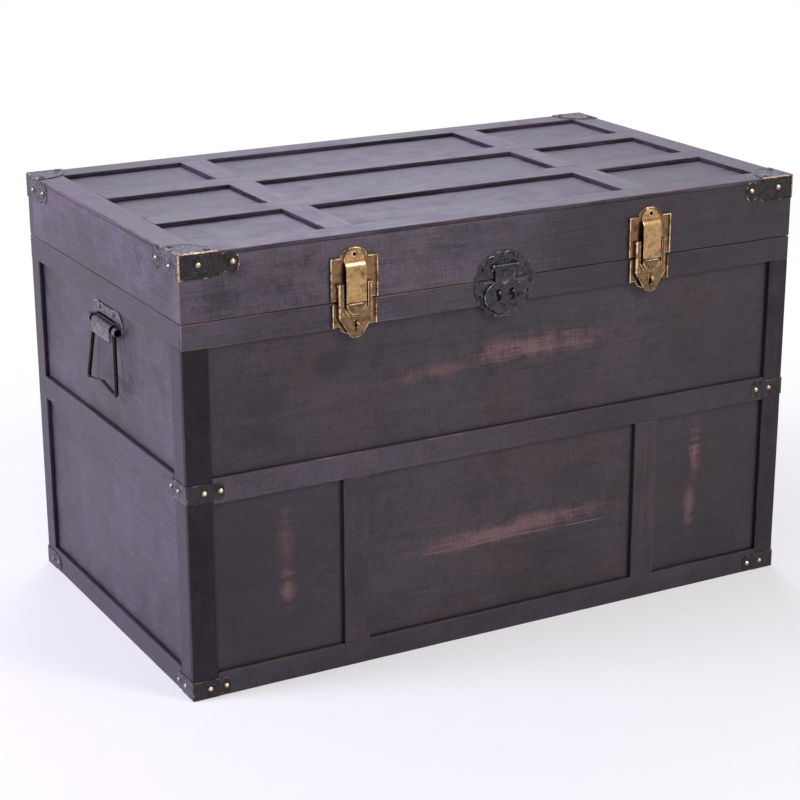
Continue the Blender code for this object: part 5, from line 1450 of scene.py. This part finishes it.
# Each metal's name, base, patina, rim, polish and bumps, and what else sets it apart
METALS = {look[0]: worn_metal(*look, **extra) for *look, extra in (
    ("black_iron", (0.030, 0.024, 0.028), (0.014, 0.011, 0.014), (0.34, 0.225, 0.150), (0.32, 0.52), 0.00016,
     {"metallic": 0.45, "rubbing": (0.82, 1.30), "gloss": 0.4}),
    ("cap_iron", (0.032, 0.026, 0.029), (0.012, 0.010, 0.012), (0.56, 0.39, 0.24), (0.24, 0.50), 0.00040,
     {"metallic": 0.6, "rubbing": (0.84, 1.24), "swirls": 0.5}),
    # A paler, lavender copy of the iron for the ends and tops of caps and brackets: painted light.
    ("pale_iron", (0.078, 0.066, 0.092), (0.038, 0.032, 0.044), (0.170, 0.125, 0.125), (0.28, 0.48), 0.00085,
     {"metallic": 0.35, "rubbing": (0.95, 1.40), "swirls": 0.6}),
    ("handle_iron", (0.118, 0.095, 0.138), (0.050, 0.040, 0.058), (0.44, 0.36, 0.43), (0.22, 0.38), 0.00012,
     {"metallic": 0.75, "rubbing": (0.85, 1.35), "swirls": 0.2}),
    ("bail_iron", (0.030, 0.021, 0.028), (0.012, 0.009, 0.012), (0.26, 0.18, 0.19), (0.18, 0.30), 0.00004,
     {"rubbing": (0.90, 1.45)}),
    ("slate_iron", (0.050, 0.046, 0.058), (0.011, 0.010, 0.013), (0.46, 0.31, 0.21), (0.18, 0.42), 0.00030,
     {"metallic": 0.75, "rubbing": (0.92, 1.40), "speck": 420.0}),
    # The tongue's pale rim colour is its worn edges, and painted glints along its lattice.
    ("tongue_iron", (0.048, 0.044, 0.054), (0.012, 0.011, 0.014), (0.42, 0.35, 0.31), (0.18, 0.40), 0.00026,
     {"metallic": 0.75, "rubbing": (0.90, 1.35), "speck": 420.0}),
    ("antique_brass", (0.192, 0.110, 0.051), (0.050, 0.028, 0.014), (0.82, 0.56, 0.34), (0.22, 0.42), 0.00008,
     {"rubbing": (0.66, 1.15), "speck": 330.0, "lacquer": 0.35}),
    # A brighter copy of the antique brass for the strap: rubbed, and painted light.
    ("strap_brass", (0.42, 0.250, 0.108), (0.125, 0.072, 0.028), (0.82, 0.60, 0.40), (0.18, 0.34), 0.00007,
     {"rubbing": (0.80, 1.30), "speck": 330.0, "lacquer": 0.5}),
    ("copper_balls", (0.30, 0.175, 0.115), (0.070, 0.040, 0.030), (0.70, 0.48, 0.36), (0.20, 0.36), 0.00003, {}),
    ("nail_brass", (0.25, 0.175, 0.120), (0.12, 0.075, 0.050), (0.86, 0.72, 0.53), (0.16, 0.28), 0.00002,
     {"rubbing": (0.50, 1.30)}),
    ("dull_nail", (0.17, 0.125, 0.125), (0.08, 0.056, 0.062), (0.58, 0.46, 0.43), (0.20, 0.36), 0.00002,
     {"metallic": 0.9, "rubbing": (0.55, 1.35)}),
    ("dark_nail", (0.045, 0.036, 0.045), (0.018, 0.014, 0.018), (0.20, 0.16, 0.18), (0.22, 0.36), 0.00003,
     {"metallic": 0.7}),
    ("pin_steel", (0.50, 0.49, 0.53), (0.30, 0.29, 0.32), (0.75, 0.74, 0.78), (0.20, 0.30), 0.00002, {}),
    # Black for painted shade: in bores, on nail holes and behind the handle's tube.
    ("hole_black", (0.004, 0.0035, 0.0035), (0.003, 0.003, 0.003), (0.01, 0.009, 0.008), (0.80, 0.90), 0.00002,
     {"metallic": 0.0, "gloss": 0.0}),
)}

make_boards()
for side_x, word_x in ((-1, "left"), (1, "right")):
    for side_y, word_y in ((-1, "front"), (1, "rear")):
        make_cap(f"lid_cap_{word_y}_{word_x}", side_x, side_y)
        make_bracket(f"bottom_bracket_{word_y}_{word_x}", side_x, side_y)
    make_bracket(f"middle_bracket_{word_x}", side_x, -1)
    make_latch_plate(f"{word_x}_latch_lid_plate", LATCH_PLACES[word_x])
    make_latch_body(f"{word_x}_latch_body_plate", LATCH_PLACES[word_x])
    make_latch_lever(f"{word_x}_latch_lever", LATCH_PLACES[word_x], f"{word_x}_lever")
    make_handle_plate(word_x, side_x)
    make_bail(word_x, side_x)
    make_hinge(word_x, side_x * HINGE_PLACE)
make_hasp()
make_floor()
make_world()
make_lights()
make_camera()
